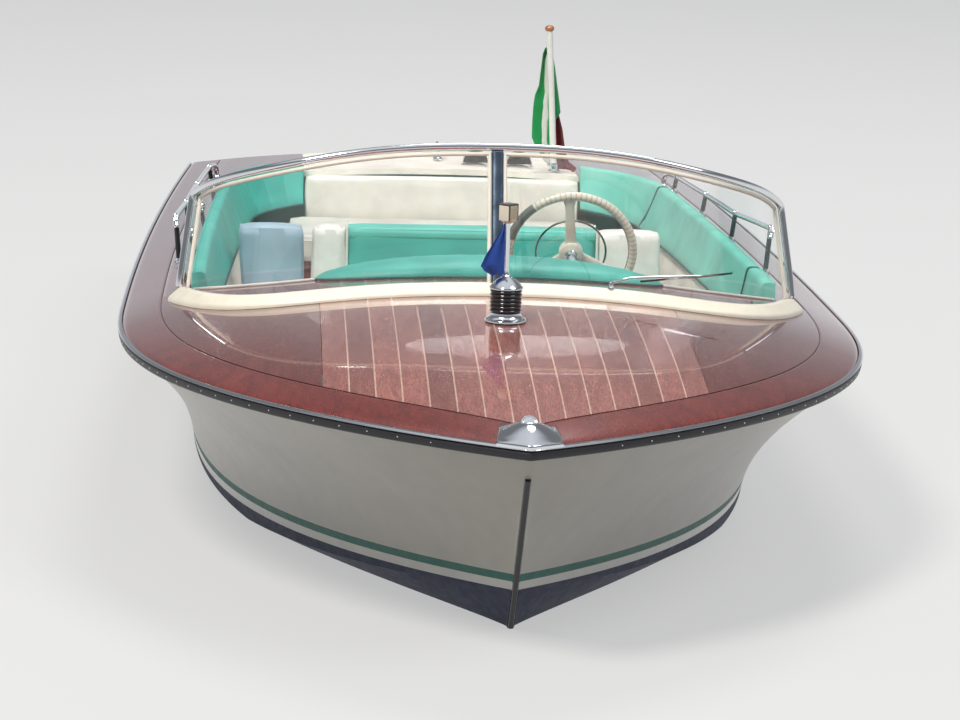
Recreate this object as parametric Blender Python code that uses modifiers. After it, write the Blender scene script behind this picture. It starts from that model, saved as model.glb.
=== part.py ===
"""Open inboard runabout of mahogany, afloat: hull, decks, windscreen, seats and running gear.

Metres, +Z up, the bow towards -Y and port towards +X.  The origin is amidships on the
centreline, at the water.  A station is a distance aft of the stem head.
"""
import math

import bmesh
import bpy
from mathutils import Matrix, Vector

# Hull lines
LENGTH = 5.70
HALF_BEAM = 1.05
WIDEST_STATION = 2.133
BOW_FULLNESS_SHARE = 2.759
BOW_ROUND_SHARE = 1.07
STERN_TAPER_SHARE = 0.109
BOW_HEIGHT = 0.584
SHEER_DROP = 0.124
SHEER_SPRING = 0.018
STEM_HALF_WIDTH = 0.009
CHINE_START_STATION = 0.46
CHINE_FULL_LENGTH = 2.90
CHINE_HALF_BEAM = 0.90
CHINE_FULLNESS_SHARE = 2.27
CHINE_TAPER_SHARE = 0.04
CHINE_BOW_HEIGHT = 0.085
CHINE_DEPTH = 0.07
FOREFOOT_STATION = 0.66
FOREFOOT_DEPTH = 0.12
KEEL_DEPTH = 0.31
KEEL_DEEP_STATION = 2.3
TRANSOM_KEEL_DEPTH = 0.235
HULL_WALL = 0.028
INNER_START_SHARE = 0.11
TRANSOM_WALL = 0.035
TRANSOM_HEAD_LAP = 0.03
TRANSOM_HEAD_GAP = 0.0015
FLARE_SHARES = (1.12, 0.72)
TOPSIDE_ROW_SHARES = (1.0, 0.8, 0.6, 0.4, 0.2, 0.0)
BOTTOM_ROW_SHARES = (0.66, 0.33)
STATION_SHARES = (0.0, 0.003, 0.009, 0.018, 0.03, 0.045, 0.063, 0.085, 0.11, 0.14, 0.175,
                  0.215, 0.26, 0.31, 0.36, 0.42, 0.48, 0.55, 0.62, 0.69, 0.76, 0.83, 0.9, 0.95, 1.0)

# Decks
DECK_CROWN = 0.152
STERN_CROWN_SHARE = 0.43
CROWN_ROUND_SHARE = 2.2
DECK_THICKNESS = 0.022
COVERING_WIDTH = 0.11
SIDE_DECK_WIDTH = 0.195
PLANK_PANEL_HALF = 0.49
PLANK_COUNT = 15
PLANK_SEAM = 0.005
PLANK_GROOVE = 0.0015
COCKPIT_FRONT = 1.86
COCKPIT_CORNER_DEPTH = 0.20
COCKPIT_CORNER_WIDTH = 0.36
CORNER_START = 4.60
AFT_DECK_HALF = 0.51
AFT_DECK_FRONT = 5.03
DECK_SEAM = 0.0008
GAP = 0.0003
SEAT_GAP = 0.0007
OVERRUN = 0.4
STEM_TOP = BOW_HEIGHT - DECK_THICKNESS - GAP

# Rub rail, stem band and bow plate
RAIL_OUT = 0.010
RAIL_TOP_DROP = 0.0105
RAIL_HEIGHT = 0.024
BEAD_OUT = 0.013
BEAD_HEIGHT = 0.0098
STEM_BAND_HALF = 0.0065
STEM_BAND_THICKNESS = 0.006
STEM_BAND_TOP_DROP = 0.055
PLATE_HALF_WIDTH = 0.078
PLATE_LENGTH = 0.125
PLATE_THICKNESS = 0.004
PLATE_SKIRT = 0.052
BOSS_RADIUS = 0.026
BOSS_HEIGHT = 0.006
BOSS_STATION = 0.058

# Bow lamp and its staff
LAMP_STATION = 1.10
FLANGE_RADIUS = 0.056
FLANGE_HEIGHT = 0.024
LENS_RADIUS = 0.043
LENS_HEIGHT = 0.078
LENS_RIBS = 5
LENS_RIB_DEPTH = 0.004
CAP_RADIUS = 0.045
CAP_HEIGHT = 0.034
STAFF_RADIUS = 0.006
STAFF_HEIGHT = 0.142
TOP_LAMP_SIZE = 0.048
TOP_LAMP_HEIGHT = 0.052
PENNANT_WIDTH = 0.060
PENNANT_HEIGHT = 0.135
PENNANT_THICKNESS = 0.006

# Windscreen
SCREEN_STATION = 1.50
SCREEN_SWEEP = 0.46
SCREEN_SWEEP_SHARE = 4.0
SCREEN_HALF_WIDTH = 0.875
BASE_HEIGHT = 0.030
BASE_WIDTH = 0.046
BASE_LIP = 0.012
GLASS_TOP_HALF_WIDTH = 0.842
GLASS_TOP_STATION = 1.655
GLASS_TOP_SWEEP = 0.385
GLASS_TOP_HEIGHT = 1.058
GLASS_TOP_DROP = 0.062
GLASS_CORNER_DROP = 0.105
GLASS_DROP_SHARE = 2.6
GLASS_CORNER_SHARE = 16.0
GLASS_THICKNESS = 0.005
FRAME_RADIUS = 0.011
POST_HALF_WIDTH = 0.0165
POST_DEPTH = 0.020
WIPER_RADIUS = 0.0038
WIPER_STANDOFF = 0.012
WIPER_PIVOT_X = 0.315
WIPER_ELBOW_X = 0.39
WIPER_TIP_X = 0.665
WIPER_ELBOW_RISE = 0.028
WIPER_TIP_RISE = 0.080

# Helm
DASH_HALF_WIDTH = 0.72
DASH_THICKNESS = 0.020
DASH_HEIGHT = 0.21
DASH_STATION = 1.90
PAD_HALF_LENGTH = 0.50
PAD_HALF_DEPTH = 0.115
PAD_HEIGHT = 0.046
PAD_OVERHANG = 0.070
WHEEL_X = 0.27
WHEEL_STATION = 2.35
WHEEL_HEIGHT = 0.685
WHEEL_RADIUS = 0.187
RIM_RADIUS = 0.013
COLUMN_SLOPE_DEG = 18.0
COLUMN_RADIUS = 0.022
HUB_RADIUS = 0.036
HUB_DEPTH = 0.042
SPOKE_WIDTH = 0.030
SPOKE_THICKNESS = 0.010
SPOKE_ANGLES_DEG = (94.0, 214.0, 334.0)
HORN_RING_RADIUS = 0.105
HORN_RING_THICKNESS = 0.004
RUNNING_GAP = 0.0006
CLUSTER_HEIGHT = 0.13
CLUSTER_HALF_WIDTH = 0.36
CLUSTER_THICKNESS = 0.006
GAUGE_RADIUS = 0.042
GAUGE_DEPTH = 0.012
GAUGE_PLACE_SHARES = (-0.84, -0.50, -0.16, 0.18)
THROTTLE_X = 0.44
THROTTLE_LENGTH = 0.13
THROTTLE_RADIUS = 0.006
THROTTLE_KNOB_RADIUS = 0.016

# Cockpit
SOLE_HEIGHT = -0.10
SOLE_THICKNESS = 0.020
SOLE_START = 1.75
SOLE_END = 4.43
SOLE_CLEARANCE = 0.0035
LINING_THICKNESS = 0.012
LINING_FOOT_INSET = 0.014
LINING_TOP_INSET = 0.080
LINING_START = 2.10
BULKHEAD_HALF_WIDTH = 0.34
BULKHEAD_TOP = 0.50
COAMING_THICKNESS = 0.042
COAMING_LEAN = 0.062
COAMING_RISE_FRONT = 0.034
COAMING_RISE_AFT = 0.050
COAMING_HEIGHT = 0.155
COAMING_START = 2.08
FRONT_SEAT_STATION = 2.95
FRONT_SEAT_DEPTH = 0.44
SEAT_BASE_HEIGHT = 0.20
SEAT_CUSHION_HEIGHT = 0.10
BACK_THICKNESS = 0.11
BACK_TOP = 0.585
SEAT_BASE_HIGH_X = 0.60
MAIN_SEAT_LOW_X = -0.49
MAIN_SEAT_HIGH_X = 0.65
JUMP_SEAT_LOW_X = -0.60
JUMP_SEAT_HIGH_X = -0.52
JUMP_BACK_FOOT_X = -0.665
JUMP_BACK_LOW_X = -0.735
REAR_SEAT_STATION = 4.46
REAR_SEAT_DEPTH = 0.47
REAR_BOX_TOP = 0.28
REAR_CUSHION_HEIGHT = 0.095
REAR_LID_THICKNESS = 0.016
REAR_HALF_WIDTH = 0.56
REAR_BACK_HALF = 0.503
REAR_BACK_THICKNESS = 0.075
REAR_BACK_TOP = 0.535
BOX_WALL = 0.018
HINGE_RADIUS = 0.007
HINGE_LEAF = 0.004

# Engine
ENGINE_LENGTH = 0.72
ENGINE_WIDTH = 0.56
ENGINE_HEIGHT = 0.34
ENGINE_STATION = 4.50
BEARER_X = 0.20
BEARER_WIDTH = 0.06
BEARER_TOP = -0.10
BEARER_START = 4.49
BEARER_END = 5.56

# Stern fittings
VENT_STATION = 5.20
VENT_LENGTH = 0.135
VENT_HALF_WIDTH = 0.050
VENT_HEIGHT = 0.060
VENT_WALL = 0.003
VENT_PLACES_X = {"vent_inner": 0.134, "vent_outer": 0.297}
CLEAT_STATION = 5.40
CLEAT_LENGTH = 0.15
CLEAT_HEIGHT = 0.048
CLEAT_RADIUS = 0.010
CLEAT_LEG_SPACING = 0.055
CLEAT_BASE_WIDTH = 0.034
CLEAT_BASE_HEIGHT = 0.005
FLAGSTAFF_X = 0.42
FLAGSTAFF_STATION = 5.10
FLAGSTAFF_RADIUS = 0.0115
FLAGSTAFF_HEIGHT = 0.545
SOCKET_RADIUS = 0.022
SOCKET_HEIGHT = 0.030
BALL_RADIUS = 0.017
FLAG_WIDTH = 0.135
FLAG_HEIGHT = 0.40
FLAG_THICKNESS = 0.016
FLAG_TOP_DROP = 0.055
FLAG_SHIFT = 0.006

# Handrails
HANDRAIL_RADIUS = 0.010
STANCHION_RADIUS = 0.008
STANCHION_INSET = 0.140
RAIL_LEAN = 0.012
STANCHION_STATIONS = (2.72, 3.50, 4.18, 4.86)
STANCHION_HEIGHTS = (0.150, 0.100, 0.080, 0.062)
RAIL_TAIL_LENGTH = 0.24
RAIL_NOSE_LENGTH = 0.035
RAIL_FOOT_RADIUS = 0.018
RAIL_FOOT_HEIGHT = 0.006

# Running gear
PROP_STATION = 4.98
PROP_AXIS_DEPTH = 0.445
SHAFT_SLOPE_DEG = 10.0
SHAFT_RADIUS = 0.014
PROP_RADIUS = 0.155
PROP_HUB_RADIUS = 0.030
PROP_HUB_LENGTH = 0.085
BLADE_COUNT = 3
BLADE_PITCH = 0.34
BLADE_THICKNESS = 0.009
BLADE_CHORD_SHARES = ((0.16, 0.46), (0.36, 0.68), (0.58, 0.86), (0.78, 0.82), (0.92, 0.58), (1.0, 0.24))
STRUT_STATION = 4.80
STRUT_LENGTH = 0.085
STRUT_RADIUS = 0.024
STRUT_PLATE_THICKNESS = 0.014
STRUT_CHORD = 0.075
SHAFT_INNER_STATION = 4.25
LOG_LENGTH = 0.40
LOG_RADIUS = 0.030
RUDDER_STATION = 5.36
RUDDER_CHORD = 0.23
RUDDER_BALANCE_SHARE = 0.24
RUDDER_HEIGHT = 0.30
RUDDER_THICKNESS = 0.024
RUDDER_TOP_DROP = 0.045
STOCK_RADIUS = 0.015
RUDDER_BOSS_RADIUS = 0.032
RUDDER_BOSS_DROP = 0.028
STOCK_ENTRY = 0.018
EXHAUST_X = 0.42
EXHAUST_HEIGHT = 0.10
EXHAUST_RADIUS = 0.040
EXHAUST_LENGTH = 0.030
EXHAUST_WALL = 0.004

COLOURS = {
    "topside_paint": ((0.80, 0.77, 0.70), 0.25, 0.0),
    "mahogany": ((0.22, 0.045, 0.025), 0.12, 0.0),
    "planks": ((0.36, 0.09, 0.05), 0.12, 0.0),
    "chrome": ((0.85, 0.86, 0.88), 0.08, 1.0),
    "rubber": ((0.015, 0.015, 0.017), 0.5, 0.0),
    "lens": ((0.012, 0.012, 0.014), 0.15, 0.0),
    "white_lamp": ((0.78, 0.76, 0.68), 0.3, 0.0),
    "pennant_blue": ((0.01, 0.08, 0.42), 0.7, 0.0),
    "cream_moulding": ((0.82, 0.78, 0.66), 0.4, 0.0),
    "cream_vinyl": ((0.84, 0.80, 0.72), 0.5, 0.0),
    "turquoise_vinyl": ((0.06, 0.50, 0.44), 0.5, 0.0),
    "glass": ((0.80, 0.88, 0.88), 0.02, 0.0),
    "white_plastic": ((0.82, 0.80, 0.74), 0.3, 0.0),
    "bronze": ((0.45, 0.28, 0.12), 0.3, 1.0),
    "engine_paint": ((0.10, 0.22, 0.30), 0.5, 0.0),
    "flag_cloth": ((0.02, 0.30, 0.09), 0.8, 0.0),
    "sole": ((0.30, 0.12, 0.06), 0.4, 0.0),
}


def clear_scene():
    for item in list(bpy.data.objects):
        bpy.data.objects.remove(item)


def new_collection(name):
    made = bpy.data.collections.new(name)
    bpy.context.scene.collection.children.link(made)
    return made


def make_material(name):
    colour, roughness, metallic = COLOURS[name]
    made = bpy.data.materials.new(name)
    made.use_nodes = True
    shader = made.node_tree.nodes["Principled BSDF"]
    shader.inputs["Base Color"].default_value = (*colour, 1.0)
    shader.inputs["Roughness"].default_value = roughness
    shader.inputs["Metallic"].default_value = metallic
    return made


clear_scene()
PARTS = new_collection("runabout")
GUIDES = new_collection("cutters")
MATERIALS = {name: make_material(name) for name in COLOURS}


def y_of(station):
    return station - LENGTH / 2


def between(low, high, share):
    return low + (high - low) * share


def solve(function, target, low, high):
    """Place where a rising function reaches the target."""
    for _ in range(50):
        middle = (low + high) / 2
        if function(middle) < target:
            low = middle
        else:
            high = middle
    return (low + high) / 2


# Shape of the hull and deck

def half_breadth(station):
    if station < WIDEST_STATION:
        ahead = max(1 - max(station, 0) / WIDEST_STATION, 0)
        return HALF_BEAM * (1 - ahead ** BOW_FULLNESS_SHARE) ** (1 / BOW_ROUND_SHARE)
    aft = (station - WIDEST_STATION) / (LENGTH - WIDEST_STATION)
    return HALF_BEAM * (1 - STERN_TAPER_SHARE * aft ** 2)


def sheer_station(share):
    """Station of a section's top; the first is where the stem's flat face meets the sheer."""
    start = solve(half_breadth, STEM_HALF_WIDTH, 0, WIDEST_STATION)
    return between(start, LENGTH, share)


def sheer_height(station):
    share = station / LENGTH
    return BOW_HEIGHT - SHEER_DROP * share + SHEER_SPRING * share ** 2


def chine_half(station):
    share = (station - CHINE_START_STATION) / CHINE_FULL_LENGTH
    ahead = max(1 - max(share, 0), 0)
    aft = max(station - CHINE_START_STATION - CHINE_FULL_LENGTH, 0) / LENGTH
    return CHINE_HALF_BEAM * (1 - ahead ** CHINE_FULLNESS_SHARE) * (1 - CHINE_TAPER_SHARE * aft)


def chine_height(station):
    share = (station - CHINE_START_STATION) / CHINE_FULL_LENGTH
    ahead = max(1 - max(share, 0), 0)
    return -CHINE_DEPTH + (CHINE_BOW_HEIGHT + CHINE_DEPTH) * ahead ** 2


def keel_height(station):
    if station < KEEL_DEEP_STATION:
        ahead = (KEEL_DEEP_STATION - station) / (KEEL_DEEP_STATION - FOREFOOT_STATION)
        return -KEEL_DEPTH + (KEEL_DEPTH - FOREFOOT_DEPTH) * ahead ** 2.6
    aft = (station - KEEL_DEEP_STATION) / (LENGTH - KEEL_DEEP_STATION)
    return between(-KEEL_DEPTH, -TRANSOM_KEEL_DEPTH, aft ** 2)


def hull_ring(share, inset, top_drop, rise):
    """Points of one slanted hull section, from the port sheer round the keel to starboard."""
    sheer_s = sheer_station(share)
    chine_s = between(CHINE_START_STATION, LENGTH, share)
    keel_s = between(FOREFOOT_STATION, LENGTH, share)
    power = between(FLARE_SHARES[0], FLARE_SHARES[1], min(share / 0.5, 1))
    half_sheer = max(half_breadth(sheer_s), STEM_HALF_WIDTH)
    half_chine = max(chine_half(chine_s), STEM_HALF_WIDTH)
    top = sheer_height(sheer_s) - top_drop
    low = chine_height(chine_s) + inset
    side = []
    for row in TOPSIDE_ROW_SHARES:
        half = half_chine + (half_sheer - half_chine) * row ** power - inset
        side.append((half, between(chine_s, sheer_s, row), between(low, top, row)))
    if rise:
        side.insert(0, (side[0][0], side[0][1], side[0][2] + rise))
    keel = (0, keel_s, keel_height(keel_s) + inset)
    chine = side[-1]
    for row in BOTTOM_ROW_SHARES:
        half = max(chine[0] * row, STEM_HALF_WIDTH - inset)
        side.append((half, between(keel[1], chine[1], row), between(keel[2], chine[2], row)))
    port = [Vector((half, y_of(station), height)) for half, station, height in side]
    centre = [Vector((0, y_of(keel[1]), keel[2]))]
    starboard = [Vector((-point.x, point.y, point.z)) for point in reversed(port)]
    return port + centre + starboard


def inner_place(station, row):
    """Half-breadth and height of the bottom's inner face, a share of the way out to the chine."""
    start = between(FOREFOOT_STATION, CHINE_START_STATION, row)
    share = (station - start) / (LENGTH - start)
    keel_s = between(FOREFOOT_STATION, LENGTH, share)
    chine_s = between(CHINE_START_STATION, LENGTH, share)
    height = between(keel_height(keel_s), chine_height(chine_s), row) + HULL_WALL
    return (chine_half(chine_s) - HULL_WALL) * row, height


def inner_bottom(station, half):
    """Height of the bottom's inner face at a distance off the centreline."""
    row = solve(lambda share: inner_place(station, share)[0], half, 0, 1)
    return inner_place(station, row)[1]


def inner_half(station, height):
    """Half-breadth of the bottom's inner face at a height."""
    row = solve(lambda share: inner_place(station, share)[1], height, 0, 1)
    return inner_place(station, row)[0]


def crown(station):
    aft = max(station - WIDEST_STATION, 0) / (LENGTH - WIDEST_STATION)
    return DECK_CROWN * half_breadth(station) / HALF_BEAM * (1 - (1 - STERN_CROWN_SHARE) * aft)


def deck_height(x, station):
    reach = min(abs(x) / max(half_breadth(station), STEM_HALF_WIDTH), 1)
    return sheer_height(station) + crown(station) * (1 - reach ** CROWN_ROUND_SHARE)


def gunwale(station, out):
    """Plan point at a distance outside the gunwale, square to it."""
    step = LENGTH * 1e-4
    start = max(station, step)
    slope = (half_breadth(start + step) - half_breadth(start)) / step
    size = math.hypot(1, slope)
    return half_breadth(station) + out / size, station - out * slope / size


def board_row(share):
    """Outer and inner plan points of the covering board; the inner stops at the centreline."""
    place = sheer_station(share)
    outer = gunwale(place, 0)
    inner = gunwale(place, -COVERING_WIDTH)
    if inner[0] < GAP:
        part = (outer[0] - GAP) / (outer[0] - inner[0])
        inner = (GAP, between(outer[1], inner[1], part))
    return outer, (inner[0], min(inner[1], LENGTH))


def board_inner_edge():
    return [board_row(share)[1] for share in STATION_SHARES[1:]]


def board_edge_station(x):
    """Station of the covering board's inner edge at a distance off the centreline."""
    edge = board_inner_edge()
    for (x0, s0), (x1, s1) in zip(edge, edge[1:]):
        if x1 > abs(x) and x1 > x0:
            return between(s0, s1, max(abs(x) - x0, 0) / (x1 - x0))
    return edge[-1][1]


def board_edge_x(station):
    """Distance of the covering board's inner edge off the centreline."""
    edge = board_inner_edge()
    for (x0, s0), (x1, s1) in zip(edge, edge[1:]):
        if s1 > station:
            return between(x0, x1, (station - s0) / (s1 - s0))
    return edge[-1][0]


def opening_edge(share):
    """Plan point and inward direction along the port side of the cockpit's edge."""
    straight_share = 0.75
    if share <= straight_share:
        station = between(COAMING_START, CORNER_START, share / straight_share)
        return half_breadth(station) - SIDE_DECK_WIDTH, station, (-1.0, 0.0)
    turn = (share - straight_share) / (1 - straight_share) * math.pi / 2
    across = half_breadth(CORNER_START) - SIDE_DECK_WIDTH - AFT_DECK_HALF
    along = AFT_DECK_FRONT - CORNER_START
    x = AFT_DECK_HALF + across * math.cos(turn)
    station = CORNER_START + along * math.sin(turn)
    inward = Vector((-math.cos(turn) * along, -math.sin(turn) * across)).normalized()
    return x, station, (inward.x, inward.y)


# Mesh helpers

def finish(name, mesh, material, collection=None):
    made = bpy.data.objects.new(name, mesh)
    (collection or PARTS).objects.link(made)
    mesh.materials.append(MATERIALS[material])
    return made


def mesh_object(name, bm, material, collection=None):
    bmesh.ops.triangulate(bm, faces=[face for face in bm.faces if len(face.verts) > 3])
    bmesh.ops.recalc_face_normals(bm, faces=bm.faces)
    mesh = bpy.data.meshes.new(name)
    bm.to_mesh(mesh)
    bm.free()
    return finish(name, mesh, material, collection)


def loft(name, rings, material, collection=None, smooth=False):
    """Skin closed rings of matching points, and close both ends with strips."""
    bm = bmesh.new()
    rows = [[bm.verts.new(point) for point in ring] for ring in rings]
    count = len(rows[0])
    for first, second in zip(rows, rows[1:]):
        for i in range(count):
            j = (i + 1) % count
            bm.faces.new((first[i], first[j], second[j], second[i]))
    for row in (rows[0], rows[-1]):
        for i in range((count - 1) // 2):
            corners = [row[i], row[i + 1], row[count - 2 - i], row[count - 1 - i]]
            if corners[1] is corners[2]:
                corners.pop(2)
            bm.faces.new(corners)
    made = mesh_object(name, bm, material, collection)
    if smooth:
        shade_round(made)
    return made


def shade_round(made, degrees=35):
    made.data.shade_smooth()
    made.data.set_sharp_from_angle(angle=math.radians(degrees))


def box(name, low, high, material, collection=None, bevel=0):
    bm = bmesh.new()
    size = Vector(high) - Vector(low)
    centre = (Vector(high) + Vector(low)) / 2
    bmesh.ops.create_cube(bm, size=1, matrix=Matrix.Translation(centre) @ Matrix.Diagonal((*size, 1)))
    made = mesh_object(name, bm, material, collection)
    if bevel:
        soften(made, bevel)
    return made


def soften(made, width):
    rounding = made.modifiers.new("rounding", "BEVEL")
    rounding.width = width
    rounding.segments = 2
    rounding.limit_method = "ANGLE"


def cylinder(name, radius, start, end, material, collection=None, sides=24, end_radius=None):
    start, end = Vector(start), Vector(end)
    axis = end - start
    bm = bmesh.new()
    turn = Vector((0, 0, 1)).rotation_difference(axis).to_matrix().to_4x4()
    place = Matrix.Translation((start + end) / 2) @ turn
    last = radius if end_radius is None else end_radius
    bmesh.ops.create_cone(bm, cap_ends=True, segments=sides, radius1=radius, radius2=last,
                          depth=axis.length, matrix=place)
    made = mesh_object(name, bm, material, collection)
    shade_round(made)
    return made


def turned(name, profile, place, material, steps=20):
    """Spin a profile of (radius, height) points, listed from the top down."""
    mesh = bpy.data.meshes.new(name)
    points = [(radius, 0, height) for radius, height in profile]
    mesh.from_pydata(points, [(i, i + 1) for i in range(len(points) - 1)], [])
    made = finish(name, mesh, material)
    made.location = place
    spin = made.modifiers.new("spin", "SCREW")
    spin.steps = steps
    spin.render_steps = steps
    spin.use_merge_vertices = True
    spin.merge_threshold = 0.00001
    spin.use_smooth_shade = True
    return made


def tube(name, points, radius, material, resolution=2, collection=None):
    curve = bpy.data.curves.new(name, "CURVE")
    curve.dimensions = "3D"
    curve.bevel_depth = radius
    curve.bevel_resolution = resolution
    curve.use_fill_caps = True
    line = curve.splines.new("POLY")
    line.points.add(len(points) - 1)
    for slot, point in zip(line.points, points):
        slot.co = (*point, 1)
    made = bpy.data.objects.new(name, curve)
    (collection or PARTS).objects.link(made)
    curve.materials.append(MATERIALS[material])
    return made


def as_mesh(made):
    """Turn a tube into a closed mesh, so that it can be joined."""
    bpy.context.view_layer.update()
    source = made.evaluated_get(bpy.context.evaluated_depsgraph_get())
    mesh = bpy.data.meshes.new_from_object(source)
    bm = bmesh.new()
    bm.from_mesh(mesh)
    bmesh.ops.remove_doubles(bm, verts=bm.verts, dist=0.00001)
    bmesh.ops.recalc_face_normals(bm, faces=bm.faces)
    bm.to_mesh(mesh)
    bm.free()
    name = made.name
    home = made.users_collection[0]
    place = made.matrix_world.copy()
    bpy.data.objects.remove(made)
    solid = bpy.data.objects.new(name, mesh)
    solid.matrix_world = place
    home.objects.link(solid)
    return solid


def combine(target, tool, operation):
    """Cut a tool out of the target, or join it on."""
    for home in list(tool.users_collection):
        home.objects.unlink(tool)
    GUIDES.objects.link(tool)
    tool.hide_render = True
    tool.display_type = "WIRE"
    step = target.modifiers.new(tool.name, "BOOLEAN")
    step.operation = operation
    step.solver = "EXACT"
    step.object = tool


def cut(target, tool):
    combine(target, tool, "DIFFERENCE")


def fuse(target, tool):
    combine(target, tool, "UNION")


def mirrored(points, side):
    return [Vector((point[0] * side, point[1], point[2])) for point in points]


SIDES = {"port": 1, "starboard": -1}


# Hull, rails and bow

def build_hull():
    rim_drop = DECK_THICKNESS + GAP
    outer = [hull_ring(share, 0, rim_drop, 0) for share in STATION_SHARES]
    hull = loft("hull", outer, "topside_paint")
    inner_shares = [share for share in STATION_SHARES if INNER_START_SHARE <= share < 1]
    inner_shares.append(1 - TRANSOM_WALL / LENGTH)
    inner = [hull_ring(share, HULL_WALL, rim_drop, OVERRUN) for share in inner_shares]
    cut(hull, loft("hull_hollow", inner, "topside_paint", GUIDES))
    fuse(hull, transom_head())
    y = y_of(LENGTH)
    for word, side in SIDES.items():
        x = EXHAUST_X * side
        fuse(hull, cylinder("exhaust_" + word, EXHAUST_RADIUS, (x, y - EXHAUST_WALL, EXHAUST_HEIGHT),
                            (x, y + EXHAUST_LENGTH, EXHAUST_HEIGHT), "chrome", GUIDES, end_radius=EXHAUST_RADIUS * 0.9))
        bore = EXHAUST_RADIUS * 0.9 - EXHAUST_WALL
        cut(hull, cylinder("exhaust_bore_" + word, bore, (x, y + EXHAUST_WALL, EXHAUST_HEIGHT),
                           (x, y + EXHAUST_LENGTH * 2, EXHAUST_HEIGHT), "chrome", GUIDES))


def transom_head():
    """The crowned top of the transom, which closes the space under the deck's aft end."""
    y = y_of(LENGTH)
    foot = sheer_height(LENGTH) - DECK_THICKNESS - TRANSOM_HEAD_LAP
    half = half_breadth(LENGTH) - HULL_WALL
    rings = []
    for share in shares(16):
        x = between(-half, half, share)
        top = deck_height(x, LENGTH) - DECK_THICKNESS - TRANSOM_HEAD_GAP
        rings.append([(x, y - TRANSOM_WALL, foot), (x, y, foot), (x, y, top), (x, y - TRANSOM_WALL, top)])
    return loft("transom_head", rings, "topside_paint", GUIDES)


def outside_of_hull(name):
    """The hull's outer form grown by a gap, to cut what stands against it."""
    rings = [hull_ring(share, -GAP * 2, -OVERRUN, 0) for share in STATION_SHARES]
    return loft(name, rings, "topside_paint", GUIDES)


def gunwale_strip(name, inner, outer, top_drop, height, material):
    """A strip along the whole gunwale, from one quarter round the stem to the other."""
    half = []
    for station in [0] + [sheer_station(share) for share in STATION_SHARES]:
        top = sheer_height(station) - top_drop
        ring = []
        for out, z in ((inner, top), (outer, top - height / 4), (outer, top - height), (inner, top - height)):
            x, s = gunwale(station, out)
            if station == 0:
                x = 0
            ring.append(Vector((x, y_of(min(s, LENGTH)), z)))
        half.append(ring)
    loft(name, [mirrored(ring, -1) for ring in reversed(half[1:])] + half, material)


def build_rails():
    gunwale_strip("rub_rail", GAP, RAIL_OUT, RAIL_TOP_DROP, RAIL_HEIGHT, "rubber")
    gunwale_strip("gunwale_bead", GAP, BEAD_OUT, 0, BEAD_HEIGHT, "chrome")


def stem_line(share):
    """Station and height down the stem, from the stem head to the forefoot."""
    if share < 0.6:
        part = share / 0.6
        top = sheer_station(0)
        return between(top, CHINE_START_STATION, part), between(STEM_TOP, CHINE_BOW_HEIGHT, part)
    part = (share - 0.6) / 0.4
    return (between(CHINE_START_STATION, FOREFOOT_STATION, part),
            between(CHINE_BOW_HEIGHT, -FOREFOOT_DEPTH, part))


def build_stem_band():
    rings = []
    start = STEM_BAND_TOP_DROP / BOW_HEIGHT
    slope = (CHINE_START_STATION - sheer_station(0)) / (STEM_TOP - CHINE_BOW_HEIGHT)
    for share in (start, 0.25, 0.45, 0.6, 0.8, 0.97):
        station, height = stem_line(share)
        near = station - GAP
        far = near - STEM_BAND_THICKNESS
        rings.append([(half, y_of(s), height - (station - s) * slope) for half, s in (
            (STEM_BAND_HALF, near), (STEM_BAND_HALF, far), (-STEM_BAND_HALF, far), (-STEM_BAND_HALF, near))])
    loft("stem_band", rings, "rubber")


def build_bow_plate():
    rings = []
    count = 12
    for i in range(count + 1):
        share = 2 * i / count - 1
        x = PLATE_HALF_WIDTH * share
        front = solve(half_breadth, abs(x), 0, WIDEST_STATION)
        reach = BEAD_OUT * 2.2
        skin = PLATE_THICKNESS
        clear = GAP
        back = PLATE_LENGTH * (1 - 0.35 * share ** 2)
        top = deck_height(0, back) + clear
        ring = [(x, y_of(back), top), (x, y_of(front - reach), top),
                (x, y_of(front - reach), top - PLATE_SKIRT),
                (x, y_of(front - reach - skin), top - PLATE_SKIRT),
                (x, y_of(front - reach - skin), top + skin), (x, y_of(back), top + skin)]
        rings.append(ring)
    plate = loft("bow_plate", rings, "chrome")
    rise = deck_height(0, PLATE_LENGTH) + GAP + PLATE_THICKNESS
    low = (0, y_of(BOSS_STATION), rise - PLATE_THICKNESS / 2)
    high = (0, y_of(BOSS_STATION), rise + BOSS_HEIGHT)
    fuse(plate, cylinder("bow_boss", BOSS_RADIUS, low, high, "chrome", GUIDES, end_radius=BOSS_RADIUS * 0.9))


# Decks

def panel(name, plan, across, along, material, drop=None):
    """A crowned deck panel over the plan points (x, station) of two shares."""
    rings = []
    for v in along:
        top = []
        for u in across:
            x, station = plan(u, v)
            top.append(Vector((x, y_of(station), deck_height(x, station))))
        low = [point - Vector((0, 0, DECK_THICKNESS)) for point in reversed(top)]
        if drop:
            top = [point - Vector((0, 0, drop(u))) for point, u in zip(top, across)]
        rings.append(top + low)
    loft(name, rings, material)


def shares(count, power=1):
    return [(i / count) ** power for i in range(count + 1)]


def cockpit_front(x):
    reach = min(max(abs(x) - PLANK_PANEL_HALF, 0) / COCKPIT_CORNER_WIDTH, 1)
    return COCKPIT_FRONT + COCKPIT_CORNER_DEPTH * reach ** 2


def build_covering_boards():
    for word, side in SIDES.items():
        def plan(u, v, side=side):
            outer, inner = board_row(v)
            return between(outer[0], inner[0], u) * side, between(outer[1], inner[1], u)
        panel("covering_board_" + word, plan, shares(4), STATION_SHARES[1:], "mahogany")


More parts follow.
